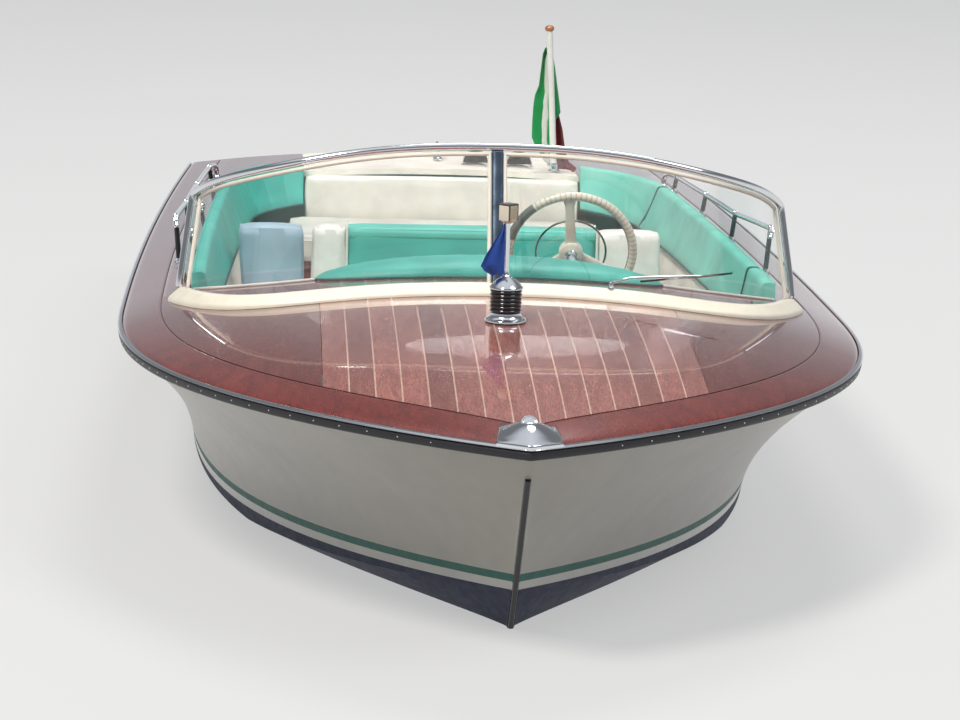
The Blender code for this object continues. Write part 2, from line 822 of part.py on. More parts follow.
def plank_columns():
    """Shares across the planked panel, with four at each seam."""
    columns = [-1.0]
    pitch = 2 / PLANK_COUNT
    half_seam = PLANK_SEAM / 2 / PLANK_PANEL_HALF
    for i in range(1, PLANK_COUNT):
        middle = -1 + i * pitch
        columns += [middle - half_seam, middle - half_seam * 0.6, middle + half_seam * 0.6, middle + half_seam]
    return columns + [1.0]


def build_foredeck():
    half = PLANK_PANEL_HALF - DECK_SEAM / 2
    columns = plank_columns()
    sunk = {column for i, column in enumerate(columns) if i % 4 in (2, 3) and 0 < i < len(columns) - 1}

    def planked(u, v):
        x = half * u
        front = board_edge_station(x) + DECK_SEAM
        return x, between(front, COCKPIT_FRONT, v)
    panel("foredeck_planks", planked, columns, shares(7), "planks",
          lambda u: PLANK_GROOVE if u in sunk else 0)
    start = board_edge_station(PLANK_PANEL_HALF + DECK_SEAM) + DECK_SEAM * 12
    for word, side in SIDES.items():
        def plain(u, v, side=side):
            low = PLANK_PANEL_HALF + DECK_SEAM / 2
            station = between(start, COCKPIT_FRONT, v)
            x = between(low, board_edge_x(station) - DECK_SEAM, u)
            station = between(start, cockpit_front(x), v)
            x = between(low, board_edge_x(station) - DECK_SEAM, u)
            return x * side, station
        panel("foredeck_panel_" + word, plain, shares(6), shares(10), "mahogany")


def build_side_decks():
    for word, side in SIDES.items():
        def plan(u, v, side=side):
            front = COCKPIT_FRONT + COCKPIT_CORNER_DEPTH + DECK_SEAM
            if v <= 0.8:
                part = v / 0.8
                _, low_station, _ = opening_edge(1)
                station = between(front, low_station, part)
            else:
                station = between(AFT_DECK_FRONT, LENGTH, (v - 0.8) / 0.2)
            if station < CORNER_START:
                inner = half_breadth(station) - SIDE_DECK_WIDTH
            elif station < AFT_DECK_FRONT:
                turn = math.asin((station - CORNER_START) / (AFT_DECK_FRONT - CORNER_START))
                across = half_breadth(CORNER_START) - SIDE_DECK_WIDTH - AFT_DECK_HALF
                inner = AFT_DECK_HALF + across * math.cos(turn)
            else:
                inner = AFT_DECK_HALF
            x = between(inner, board_edge_x(station) - DECK_SEAM, u)
            return x * side, station
        straight = [0.8 * share for share in shares(10)]
        corner_start = 0.8 * (CORNER_START - COCKPIT_FRONT - COCKPIT_CORNER_DEPTH) / (
            AFT_DECK_FRONT - COCKPIT_FRONT - COCKPIT_CORNER_DEPTH)
        rows = [share for share in straight if share < corner_start]
        rows += [between(corner_start, 0.8, math.sin(share * math.pi / 2)) for share in shares(8)]
        rows += [0.9, 1.0]
        panel("side_deck_" + word, plan, shares(3), rows, "mahogany")

    def aft(u, v):
        half = AFT_DECK_HALF - DECK_SEAM
        return between(-half, half, u), between(AFT_DECK_FRONT, LENGTH, v)
    panel("aft_deck", aft, shares(12), shares(3), "cream_vinyl")


# Windscreen

def screen_base(share):
    x = SCREEN_HALF_WIDTH * share
    station = SCREEN_STATION + SCREEN_SWEEP * abs(share) ** SCREEN_SWEEP_SHARE
    return x, station


def base_normal(share):
    step = 0.001
    x0, s0 = screen_base(share - step)
    x1, s1 = screen_base(share + step)
    across = Vector((x1 - x0, s1 - s0)).normalized()
    return Vector((across.y, -across.x))


def glass_low(share):
    x, station = screen_base(share)
    return Vector((x, y_of(station), deck_height(x, station) + BASE_HEIGHT + SEAT_GAP + GAP))


def glass_top(share):
    x = GLASS_TOP_HALF_WIDTH * share
    station = GLASS_TOP_STATION + GLASS_TOP_SWEEP * abs(share) ** SCREEN_SWEEP_SHARE
    drop = (GLASS_TOP_DROP * abs(share) ** GLASS_DROP_SHARE
            + GLASS_CORNER_DROP * abs(share) ** GLASS_CORNER_SHARE)
    return Vector((x, y_of(station), GLASS_TOP_HEIGHT - drop))


SCREEN_SHARES = (0.0, 0.12, 0.25, 0.38, 0.5, 0.6, 0.69, 0.77, 0.83, 0.88, 0.92, 0.95, 0.975, 1.0)


def build_screen_base():
    rings = []
    every = [-share for share in reversed(SCREEN_SHARES[1:])] + list(SCREEN_SHARES)
    for share in every:
        x, station = screen_base(share)
        normal = base_normal(share)
        ring = []
        for out, rise in ((BASE_WIDTH, 0), (BASE_WIDTH, BASE_HEIGHT / 3), (BASE_LIP, BASE_HEIGHT),
                          (-BASE_LIP, BASE_HEIGHT), (-BASE_LIP, 0)):
            px = x + normal.x * out
            ps = station + normal.y * out
            if rise == BASE_HEIGHT:
                height = deck_height(x, station)
            else:
                height = deck_height(px, ps)
            ring.append((px, y_of(ps), height + SEAT_GAP + rise))
        rings.append(ring)
    loft("windscreen_base", rings, "cream_moulding")


def build_glass():
    for word, side in SIDES.items():
        rings = []
        for share in SCREEN_SHARES:
            column = []
            place = max(share, (POST_HALF_WIDTH + GAP) / SCREEN_HALF_WIDTH)
            low, top = glass_low(place), glass_top(place)
            if share == 0:
                low.x = top.x = POST_HALF_WIDTH + GAP
            normal = base_normal(place)
            skin = Vector((normal.x, normal.y, 0)) * GLASS_THICKNESS
            front = [low.lerp(top, v) for v in shares(4)]
            back = [point - skin for point in reversed(front)]
            column = front + back
            rings.append(mirrored(column, side))
        loft("glass_" + word, rings, "glass", smooth=True)


def frame_path():
    """Centreline of the chrome frame, from one foot over the top to the other."""
    lift = FRAME_RADIUS + GAP * 0.4
    back = GLASS_THICKNESS / 2
    top = []
    for share in SCREEN_SHARES[1:-1]:
        point = glass_top(share)
        reach = max(share - 0.8, 0) / 0.2
        out = lift * reach ** 2
        top.append(point + Vector((out, back, lift * math.sqrt(max(1 - (reach * 0.75) ** 2, 0)))))
    corner = glass_top(1.0)
    foot = glass_low(1.0)
    side = [corner.lerp(foot, share) + Vector((lift * 1.15, back, 0)) for share in (0.0, 0.14, 0.4, 0.7, 1.0)]
    side[-1].z += FRAME_RADIUS * 0.3
    half = top + side
    centre = glass_top(0) + Vector((0, back, lift))
    return mirrored(reversed(half), -1) + [centre] + half


def build_screen_frame():
    tube("windscreen_frame", frame_path(), FRAME_RADIUS, "chrome", 2)
    low, top = glass_low(0), glass_top(0)
    top.z -= GAP * 2
    rings = []
    for point in (low, top):
        rings.append([(x, point.y + y, point.z) for x, y in (
            (POST_HALF_WIDTH, -POST_DEPTH / 2), (POST_HALF_WIDTH, POST_DEPTH / 2),
            (-POST_HALF_WIDTH, POST_DEPTH / 2), (-POST_HALF_WIDTH, -POST_DEPTH / 2))])
    loft("windscreen_post", rings, "chrome")


def screen_face(x, rise):
    """A point in front of the port glass, a given height above the moulding."""
    share = x / SCREEN_HALF_WIDTH
    low, top = glass_low(share), glass_top(share)
    point = low.lerp(top, rise / (top.z - low.z))
    normal = base_normal(share)
    return point + Vector((normal.x, normal.y, 0)) * WIPER_STANDOFF


def build_wiper():
    x, station = screen_base(WIPER_PIVOT_X / SCREEN_HALF_WIDTH)
    normal = base_normal(WIPER_PIVOT_X / SCREEN_HALF_WIDTH)
    out = BASE_LIP * 0.6
    foot = Vector((x + normal.x * out, y_of(station + normal.y * out), 0))
    foot.z = deck_height(x, station) + BASE_HEIGHT + SEAT_GAP + GAP
    head = foot + Vector((0, 0, WIPER_ELBOW_RISE / 2))
    blade_share = shares(5)
    blade = [screen_face(between(WIPER_ELBOW_X, WIPER_TIP_X, share),
                         between(WIPER_ELBOW_RISE, WIPER_TIP_RISE, share)) for share in blade_share]
    tube("wiper", [foot, head] + blade, WIPER_RADIUS, "rubber", 1)


# Bow lamp

def seat_on_deck(x, station, across, along=0):
    """Lowest height at which a flat foot clears the deck; it is round unless it has a reach along."""
    if along:
        places = [(x + i * across, station + j * along) for i in (-1, 0, 1) for j in (-1, 0, 1)]
    else:
        turns = [math.pi * i / 4 for i in range(8)]
        places = [(x + across * math.cos(turn), station + across * math.sin(turn)) for turn in turns]
    return max(deck_height(px, ps) for px, ps in places) + GAP


def build_bow_lamp():
    y = y_of(LAMP_STATION)
    z = seat_on_deck(0, LAMP_STATION, FLANGE_RADIUS)
    turned("lamp_flange", [(0, FLANGE_HEIGHT), (LENS_RADIUS, FLANGE_HEIGHT), (LENS_RADIUS, FLANGE_HEIGHT * 0.55),
                           (FLANGE_RADIUS, FLANGE_HEIGHT * 0.25), (FLANGE_RADIUS, 0), (0, 0)], (0, y, z), "chrome")
    z += FLANGE_HEIGHT + GAP
    profile = [(0, LENS_HEIGHT)]
    pitch = LENS_HEIGHT / LENS_RIBS
    for i in range(LENS_RIBS):
        high = LENS_HEIGHT - i * pitch
        waist = LENS_RADIUS - LENS_RIB_DEPTH
        profile += [(waist, high), (LENS_RADIUS, high - pitch * 0.2), (LENS_RADIUS, high - pitch * 0.8)]
    profile += [(LENS_RADIUS - LENS_RIB_DEPTH, 0), (0, 0)]
    turned("lamp_lens", profile, (0, y, z), "lens")
    z += LENS_HEIGHT + GAP
    top = CAP_HEIGHT + STAFF_HEIGHT
    turned("lamp_cap", [(0, top), (STAFF_RADIUS, top), (STAFF_RADIUS, CAP_HEIGHT),
                        (STAFF_RADIUS * 1.8, CAP_HEIGHT * 0.92), (CAP_RADIUS * 0.6, CAP_HEIGHT * 0.58),
                        (CAP_RADIUS * 0.92, CAP_HEIGHT * 0.32), (CAP_RADIUS, CAP_HEIGHT * 0.18),
                        (CAP_RADIUS, 0), (0, 0)], (0, y, z), "chrome")
    z += top + GAP
    half = TOP_LAMP_SIZE / 2
    box("masthead_lamp", (-half, y - half, z), (half, y + half, z + TOP_LAMP_HEIGHT), "white_lamp", bevel=half / 6)
    high = z - GAP * 4
    right = -STAFF_RADIUS - GAP
    box("pennant", (right - PENNANT_WIDTH, y - PENNANT_THICKNESS / 2, high - PENNANT_HEIGHT),
        (right, y + PENNANT_THICKNESS / 2, high), "pennant_blue")


# Helm

def build_dash():
    top = deck_height(DASH_HALF_WIDTH, DASH_STATION + DASH_THICKNESS) - DECK_THICKNESS - SEAT_GAP
    rings = []
    outer = [between(PLANK_PANEL_HALF, DASH_HALF_WIDTH, share) for share in shares(4)]
    for x in [-place for place in reversed(outer)] + outer:
        front = cockpit_front(x) - DASH_THICKNESS - SEAT_GAP
        z = min(deck_height(x, front), deck_height(x, front + DASH_THICKNESS)) - DECK_THICKNESS - SEAT_GAP
        rings.append([(x, y_of(s), h) for s, h in (
            (front, z), (front + DASH_THICKNESS, z), (front + DASH_THICKNESS, top - DASH_HEIGHT),
            (front, top - DASH_HEIGHT))])
    loft("dashboard", rings, "mahogany")
    rings = []
    for share in (-1.0, -0.92, -0.75, -0.5, -0.25, 0.0, 0.25, 0.5, 0.75, 0.92, 1.0):
        x = PAD_HALF_LENGTH * share
        size = math.sqrt(max(1 - share ** 2, 0.03))
        high = PAD_HEIGHT * size
        middle = COCKPIT_FRONT + PAD_OVERHANG - PAD_HALF_DEPTH * 0.5
        ring = []
        for turn in range(9):
            angle = math.pi * turn / 8
            s = middle - PAD_HALF_DEPTH * size * math.cos(angle)
            z = high * math.sin(angle) ** 0.8
            ring.append((x, y_of(s), deck_height(x, min(s, COCKPIT_FRONT)) + SEAT_GAP + z))
        rings.append(ring)
    loft("dash_pad", rings, "turquoise_vinyl", smooth=True)


def column_axis():
    slope = math.radians(COLUMN_SLOPE_DEG)
    return Vector((0, math.cos(slope), math.sin(slope)))


def wheel_centre():
    return Vector((WHEEL_X, y_of(WHEEL_STATION), WHEEL_HEIGHT))


def dash_face():
    """World Y of the instrument panel's aft face at the column."""
    return y_of(cockpit_front(WHEEL_X)) - SEAT_GAP


def build_column():
    axis = column_axis()
    centre = wheel_centre()
    back = centre - axis * (HUB_DEPTH / 2 + RUNNING_GAP)
    reach = (back.y - dash_face() - CLUSTER_THICKNESS - 2 * GAP - COLUMN_RADIUS * axis.z) / axis.y
    cylinder("steering_column", COLUMN_RADIUS, back - axis * reach, back, "chrome")


def build_wheel():
    axis = column_axis()
    centre = wheel_centre()
    turn = Vector((0, 0, 1)).rotation_difference(axis).to_matrix().to_4x4()
    place = Matrix.Translation(centre) @ turn
    across = place.to_3x3() @ Vector((1, 0, 0))
    up = across.cross(axis) * -1
    up = up if up.z > 0 else -up
    wheel = cylinder("steering_wheel", HUB_RADIUS, centre - axis * HUB_DEPTH / 2, centre + axis * HUB_DEPTH / 2,
                     "white_plastic")
    around = 36
    rim = torus("wheel_rim", centre, across, up, axis, WHEEL_RADIUS, RIM_RADIUS, around)
    horn = torus("horn_ring", centre, across, up, axis, HORN_RING_RADIUS, HORN_RING_THICKNESS, around)
    fuse(wheel, rim)
    for i, degrees in enumerate(SPOKE_ANGLES_DEG):
        angle = math.radians(degrees)
        out = across * math.cos(angle) + up * math.sin(angle)
        flat = axis.cross(out)
        half = flat * SPOKE_WIDTH / 2
        thick = axis * SPOKE_THICKNESS / 2
        rings = []
        for reach, share in ((HUB_RADIUS * 0.5, 1.0), (WHEEL_RADIUS, 0.8)):
            middle = centre + out * reach
            rings.append([middle + half * share + thick, middle - half * share + thick,
                          middle - half * share - thick, middle + half * share - thick])
        fuse(wheel, loft("spoke_%d" % i, rings, "white_plastic", GUIDES))
    fuse(wheel, horn)


def torus(name, centre, across, up, axis, radius, thickness, around, sides=8):
    bm = bmesh.new()
    rows = []
    for i in range(around):
        angle = 2 * math.pi * i / around
        out = across * math.cos(angle) + up * math.sin(angle)
        row = []
        for j in range(sides):
            turn = 2 * math.pi * (j + 0.5) / sides
            row.append(bm.verts.new(centre + out * (radius + thickness * math.cos(turn))
                                    + axis * thickness * math.sin(turn)))
        rows.append(row)
    for i in range(around):
        first, second = rows[i], rows[(i + 1) % around]
        for j in range(sides):
            k = (j + 1) % sides
            bm.faces.new((first[j], first[k], second[k], second[j]))
    return mesh_object(name, bm, "white_plastic", GUIDES)


def build_helm_fittings():
    face = dash_face() + GAP
    middle = deck_height(0, COCKPIT_FRONT) - DECK_THICKNESS - CLUSTER_HEIGHT * 0.75
    low = (-CLUSTER_HALF_WIDTH, face, middle - CLUSTER_HEIGHT / 2)
    high = (CLUSTER_HALF_WIDTH, face + CLUSTER_THICKNESS, middle + CLUSTER_HEIGHT / 2)
    cluster = box("instrument_panel", low, high, "cream_moulding")
    for i, share in enumerate(GAUGE_PLACE_SHARES):
        x = CLUSTER_HALF_WIDTH * share
        start = (x, face + CLUSTER_THICKNESS * 0.4, middle)
        end = (x, face + CLUSTER_THICKNESS + GAUGE_DEPTH, middle)
        fuse(cluster, cylinder("gauge_%d" % i, GAUGE_RADIUS, start, end, "chrome", GUIDES, 20))
    lever_y = y_of(cockpit_front(THROTTLE_X)) - SEAT_GAP + GAP
    low_z = middle - CLUSTER_HEIGHT / 2
    root = Vector((THROTTLE_X, lever_y + THROTTLE_RADIUS, low_z))
    tip = root + Vector((0, THROTTLE_LENGTH * 0.6, THROTTLE_LENGTH * 0.5))
    lever = cylinder("throttle_lever", THROTTLE_RADIUS * 2, (THROTTLE_X, lever_y, low_z),
                     (THROTTLE_X, lever_y + THROTTLE_RADIUS * 3, low_z), "chrome")
    fuse(lever, cylinder("throttle_arm", THROTTLE_RADIUS, root, tip, "chrome", GUIDES, 12))
    fuse(lever, ball("throttle_knob", tip, THROTTLE_KNOB_RADIUS))


def ball(name, centre, radius):
    bm = bmesh.new()
    bmesh.ops.create_uvsphere(bm, u_segments=12, v_segments=8, radius=radius, matrix=Matrix.Translation(centre))
    return mesh_object(name, bm, "rubber", GUIDES)


# Cockpit

def build_sole():
    rings = []
    count = 14
    for share in shares(count):
        station = between(SOLE_START, SOLE_END, share)
        top = inner_half(station, SOLE_HEIGHT) - SOLE_CLEARANCE
        low = inner_half(station, SOLE_HEIGHT - SOLE_THICKNESS) - SOLE_CLEARANCE
        y = y_of(station)
        rings.append([(top, y, SOLE_HEIGHT), (low, y, SOLE_HEIGHT - SOLE_THICKNESS),
                      (-low, y, SOLE_HEIGHT - SOLE_THICKNESS), (-top, y, SOLE_HEIGHT)])
    loft("cockpit_sole", rings, "sole")
    station = SOLE_START + HULL_WALL
    low = (-BULKHEAD_HALF_WIDTH, y_of(station), SOLE_HEIGHT + GAP)
    high = (BULKHEAD_HALF_WIDTH, y_of(station) + LINING_THICKNESS, BULKHEAD_TOP)
    box("forward_bulkhead", low, high, "mahogany")


def coaming_top(share):
    x, station, _ = opening_edge(share)
    rise = between(COAMING_RISE_FRONT, COAMING_RISE_AFT, share)
    return deck_height(x, station) + rise


def build_coaming():
    for word, side in SIDES.items():
        rings = []
        for share in [0.75 * part for part in shares(8)] + [0.75 + 0.25 * part for part in shares(8)[1:]]:
            x, station, inward = opening_edge(share)
            high = coaming_top(share)
            low = high - COAMING_HEIGHT
            deck = deck_height(x, station) - DECK_THICKNESS
            edge = COAMING_THICKNESS / 4
            ring = []
            for depth, z in ((SEAT_GAP, deck), (SEAT_GAP, high - edge), (edge, high),
                             (COAMING_THICKNESS - edge, high), (COAMING_THICKNESS, high - edge),
                             (COAMING_THICKNESS + COAMING_LEAN, low + edge),
                             (COAMING_THICKNESS + COAMING_LEAN - edge, low),
                             (COAMING_LEAN + edge, low)):
                ring.append(((x + inward[0] * depth) * side, y_of(station + inward[1] * depth), z))
            rings.append(ring)
        loft("coaming_pad_" + word, rings, "turquoise_vinyl")


def build_linings():
    for word, side in SIDES.items():
        rings = []
        for share in shares(8):
            station = between(LINING_START, SOLE_END, share)
            edge = half_breadth(station) - SIDE_DECK_WIDTH
            foot = min(inner_half(station, SOLE_HEIGHT), edge) - LINING_FOOT_INSET - LINING_THICKNESS
            top_x = edge - LINING_TOP_INSET
            high = deck_height(edge, station) + COAMING_RISE_FRONT - COAMING_HEIGHT - SEAT_GAP
            low = SOLE_HEIGHT + GAP
            skin = LINING_THICKNESS
            y = y_of(station)
            rings.append([(foot * side, y, low), ((foot + skin) * side, y, low),
                          ((top_x + skin) * side, y, high), (top_x * side, y, high)])
        loft("side_lining_" + word, rings, "cream_vinyl")


def build_front_seat():
    y0 = y_of(FRONT_SEAT_STATION)
    y1 = y0 + FRONT_SEAT_DEPTH
    floor = SOLE_HEIGHT + GAP
    base = floor + SEAT_BASE_HEIGHT
    seat = base + GAP
    back_low = y1 + GAP
    box("front_seat_base", (JUMP_SEAT_LOW_X, y0 + BOX_WALL, floor),
        (SEAT_BASE_HIGH_X, y1 + BACK_THICKNESS - BOX_WALL, base), "cream_vinyl")
    spans = {"main": (MAIN_SEAT_LOW_X, MAIN_SEAT_HIGH_X, MAIN_SEAT_LOW_X),
             "jump": (JUMP_SEAT_LOW_X, JUMP_SEAT_HIGH_X, JUMP_BACK_LOW_X)}
    for word, (low_x, high_x, back_x) in spans.items():
        box(word + "_seat_cushion", (low_x, y0, seat), (min(high_x, SEAT_BASE_HIGH_X), y1, seat + SEAT_CUSHION_HEIGHT),
            "turquoise_vinyl", bevel=SEAT_CUSHION_HEIGHT / 4)
        rings = []
        for share, z in ((0.0, seat), (0.6, between(seat, BACK_TOP, 0.45)), (1.0, BACK_TOP)):
            edge = between(low_x if word == "main" else JUMP_BACK_FOOT_X, back_x, share)
            near, far = back_low, back_low + BACK_THICKNESS
            rings.append([(edge, near, z), (high_x, near, z), (high_x, far, z), (edge, far, z)])
        soften(loft(word + "_seat_back", rings, "turquoise_vinyl"), BACK_THICKNESS / 4)


def build_rear_seat():
    y0 = y_of(REAR_SEAT_STATION)
    y1 = y0 + REAR_SEAT_DEPTH
    half = REAR_HALF_WIDTH
    foot = inner_bottom(REAR_SEAT_STATION, half) + SEAT_GAP
    box("engine_box", (-half, y0, foot), (half, y0 + BOX_WALL, REAR_BOX_TOP), "mahogany")
    lid_low = REAR_BOX_TOP + GAP
    lid_high = lid_low + REAR_LID_THICKNESS
    lid = box("engine_lid", (-half, y0, lid_low), (half, y1, lid_high), "mahogany")
    barrel_y = y0 - HINGE_RADIUS - GAP
    fuse(lid, cylinder("lid_hinge", HINGE_RADIUS, (-half, barrel_y, lid_low), (half, barrel_y, lid_low), "chrome",
                       GUIDES, 12))
    fuse(lid, box("hinge_leaf", (-half, barrel_y, lid_low), (half, y0 + BOX_WALL, lid_low + HINGE_LEAF), "chrome",
                  GUIDES))
    box("rear_cushion", (-half, y0, lid_high + GAP), (half, y1, lid_high + GAP + REAR_CUSHION_HEIGHT),
        "cream_vinyl", bevel=REAR_CUSHION_HEIGHT / 4)
    back_y = y_of(AFT_DECK_FRONT) - SEAT_GAP
    box("rear_backrest", (-REAR_BACK_HALF, back_y - REAR_BACK_THICKNESS, lid_high),
        (REAR_BACK_HALF, back_y, REAR_BACK_TOP), "cream_vinyl", bevel=REAR_BACK_THICKNESS / 4)


def build_engine():
    y0 = y_of(ENGINE_STATION)
    middle = y0 + ENGINE_LENGTH / 2
    beam = box("engine_bearers", (-BEARER_X, middle - BEARER_WIDTH / 2, BEARER_TOP - BEARER_WIDTH),
               (BEARER_X, middle + BEARER_WIDTH / 2, BEARER_TOP - GAP), "mahogany")
    for word, side in SIDES.items():
        rings = []
        for share in shares(6):
            station = between(BEARER_START, BEARER_END, share)
            y = y_of(station)
            inner = BEARER_X - BEARER_WIDTH / 2
            outer = BEARER_X + BEARER_WIDTH / 2
            rings.append(mirrored([(inner, y, BEARER_TOP), (outer, y, BEARER_TOP),
                                   (outer, y, inner_bottom(station, outer) + SEAT_GAP),
                                   (inner, y, inner_bottom(station, inner) + SEAT_GAP)], side))
        fuse(beam, loft("engine_bearer_" + word, rings, "mahogany", GUIDES))
    box("engine_block", (-ENGINE_WIDTH / 2, y0, BEARER_TOP + GAP),
        (ENGINE_WIDTH / 2, y0 + ENGINE_LENGTH, BEARER_TOP + GAP + ENGINE_HEIGHT), "engine_paint")


# Stern fittings and handrails

def build_vents():
    for name, x in VENT_PLACES_X.items():
        base = seat_on_deck(x, VENT_STATION + VENT_LENGTH / 2, VENT_HALF_WIDTH, VENT_LENGTH / 2)
        body = cowl(name, x, base, 0, "chrome", None)
        cut(body, cowl(name + "_mouth", x, base, VENT_WALL, "chrome", GUIDES))


def cowl(name, x, base, wall, material, collection):
    rings = []
    for share, size in ((0.0, 1.0), (0.3, 0.98), (0.6, 0.82), (0.85, 0.5), (1.0, 0.22)):
        if wall and share > 0.65:
            break
        start = -VENT_LENGTH * 0.1 if wall and share == 0 else 0
        s = VENT_STATION + VENT_LENGTH * share + start
        half = VENT_HALF_WIDTH * size - wall * 2
        high = VENT_HEIGHT * size - wall * 2
        ring = [(x + half * math.cos(math.pi * i / 8), y_of(s), base + wall + high * math.sin(math.pi * i / 8))
                for i in range(9)]
        rings.append(ring)
    return loft(name, rings, material, collection, smooth=not wall)


def build_cleat():
    y = y_of(CLEAT_STATION)
    base = seat_on_deck(0, CLEAT_STATION, CLEAT_BASE_WIDTH / 2, CLEAT_LEG_SPACING)
    half = CLEAT_BASE_WIDTH / 2
    cleat = box("stern_cleat", (-half, y - CLEAT_LEG_SPACING, base),
                (half, y + CLEAT_LEG_SPACING, base + CLEAT_BASE_HEIGHT), "chrome")
    top = base + CLEAT_HEIGHT
    for i, place in enumerate((-1, 1)):
        leg_y = y + place * CLEAT_LEG_SPACING / 2
        fuse(cleat, cylinder("cleat_leg_%d" % i, CLEAT_RADIUS * 0.78, (0, leg_y, base + CLEAT_BASE_HEIGHT / 2),
                             (0, leg_y, top), "chrome", GUIDES, 16))
    horn = cylinder("cleat_horn", CLEAT_RADIUS, (0, y - CLEAT_LENGTH / 2, top), (0, y + CLEAT_LENGTH / 2, top),
                    "chrome", GUIDES, 16)
    fuse(cleat, horn)


def build_flagstaff():
    y = y_of(FLAGSTAFF_STATION)
    x = FLAGSTAFF_X
    base = seat_on_deck(x, FLAGSTAFF_STATION, SOCKET_RADIUS)
    low = base
    high = FLAGSTAFF_HEIGHT
    ring = [(0, high + BALL_RADIUS)]
    for degrees in (60, 30, 0, -30):
        angle = math.radians(degrees)
        ring.append((BALL_RADIUS * math.cos(angle), high + BALL_RADIUS * math.sin(angle)))
    collar = FLAGSTAFF_RADIUS * 1.4
    ring += [(FLAGSTAFF_RADIUS, high - BALL_RADIUS), (FLAGSTAFF_RADIUS, SOCKET_HEIGHT), (collar, SOCKET_HEIGHT),
             (collar, SOCKET_HEIGHT * 0.3), (SOCKET_RADIUS, SOCKET_HEIGHT * 0.2), (SOCKET_RADIUS, 0), (0, 0)]
    turned("flagstaff", ring, (x, y, low), "white_plastic")
    top = low + high - FLAG_TOP_DROP
    near = y + FLAGSTAFF_RADIUS + GAP
    left = x - FLAG_WIDTH / 2 + FLAG_SHIFT
    box("flag", (left, near, top - FLAG_HEIGHT), (left + FLAG_WIDTH, near + FLAG_THICKNESS, top), "flag_cloth")


def rail_place(station, height, out):
    x = half_breadth(station) - STANCHION_INSET + out
    return Vector((x, y_of(station), deck_height(x, station) + height))


def build_handrails():
    stations = list(STANCHION_STATIONS)
    heights = list(STANCHION_HEIGHTS)
    for word, side in SIDES.items():
        points = [rail_place(stations[0] - RAIL_NOSE_LENGTH, heights[0] * 0.82, RAIL_LEAN * 0.6),
                  rail_place(stations[0] - RAIL_NOSE_LENGTH * 0.6, heights[0] * 0.95, RAIL_LEAN * 0.9)]
        for (s0, h0), (s1, h1) in zip(zip(stations, heights), zip(stations[1:], heights[1:])):
            for share in (0.0, 0.5):
                points.append(rail_place(between(s0, s1, share), between(h0, h1, share), RAIL_LEAN))
        last = stations[-1]
        points.append(rail_place(last, heights[-1], RAIL_LEAN))
        points.append(rail_place(last + RAIL_TAIL_LENGTH * 0.5, heights[-1] * 0.9, RAIL_LEAN * 0.5))
        points.append(rail_place(last + RAIL_TAIL_LENGTH * 0.85, heights[-1] * 0.6, 0))
        points.append(rail_place(last + RAIL_TAIL_LENGTH, SEAT_GAP + HANDRAIL_RADIUS, 0))
        rail = as_mesh(tube("handrail_" + word, mirrored(points, side), HANDRAIL_RADIUS, "chrome", 2))
        for i, (station, height) in enumerate(zip(stations, heights)):
            foot = rail_place(station, RAIL_FOOT_RADIUS * 0.15 + SEAT_GAP, 0)
            head = rail_place(station, height, RAIL_LEAN)
            low, high = mirrored((foot, head), side)
            up = (high - low).normalized()
            fuse(rail, cylinder("stanchion_%s_%d" % (word, i), STANCHION_RADIUS, low + up * RAIL_FOOT_HEIGHT / 2, high,
                                "chrome", GUIDES, 8))
            top = low + up * RAIL_FOOT_HEIGHT
            fuse(rail, cylinder("rail_foot_%s_%d" % (word, i), RAIL_FOOT_RADIUS, low, top, "chrome", GUIDES, 12))


# Running gear

def shaft_point(station):
    rise = (PROP_STATION - station) * math.tan(math.radians(SHAFT_SLOPE_DEG))
    return Vector((0, y_of(station), -PROP_AXIS_DEPTH + rise))


def build_propeller():
    axis = (shaft_point(PROP_STATION) - shaft_point(SHAFT_INNER_STATION)).normalized()
    centre = shaft_point(PROP_STATION)
    start = centre - axis * PROP_HUB_LENGTH / 2
    end = centre + axis * PROP_HUB_LENGTH / 2
    cylinder("propeller_shaft", SHAFT_RADIUS, shaft_point(SHAFT_INNER_STATION), start - axis * GAP, "chrome")
    prop = cylinder("propeller", PROP_HUB_RADIUS, start, end, "bronze", end_radius=PROP_HUB_RADIUS * 0.7)
    across = Vector((1, 0, 0))
    up = axis.cross(across)
    for i in range(BLADE_COUNT):
        base = 2 * math.pi * i / BLADE_COUNT
        rings = []
        for radius_share, chord_share in BLADE_CHORD_SHARES:
            radius = PROP_RADIUS * radius_share
            pitch_angle = math.atan2(BLADE_PITCH, 2 * math.pi * radius)
            half = PROP_RADIUS * chord_share / 2
            ring = []
            thick = BLADE_THICKNESS * (1.15 - radius_share) / 2
            for along, skin in ((-1, 0), (0, thick), (1, 0), (0, -thick)):
                sweep = half * along * math.cos(pitch_angle) / radius
                slide = half * along * math.sin(pitch_angle)
                angle = base + sweep
                out = across * math.cos(angle) + up * math.sin(angle)
                ring.append(centre + out * radius + axis * (slide + skin))
            rings.append(ring)
        fuse(prop, loft("blade_%d" % i, rings, "bronze", GUIDES))


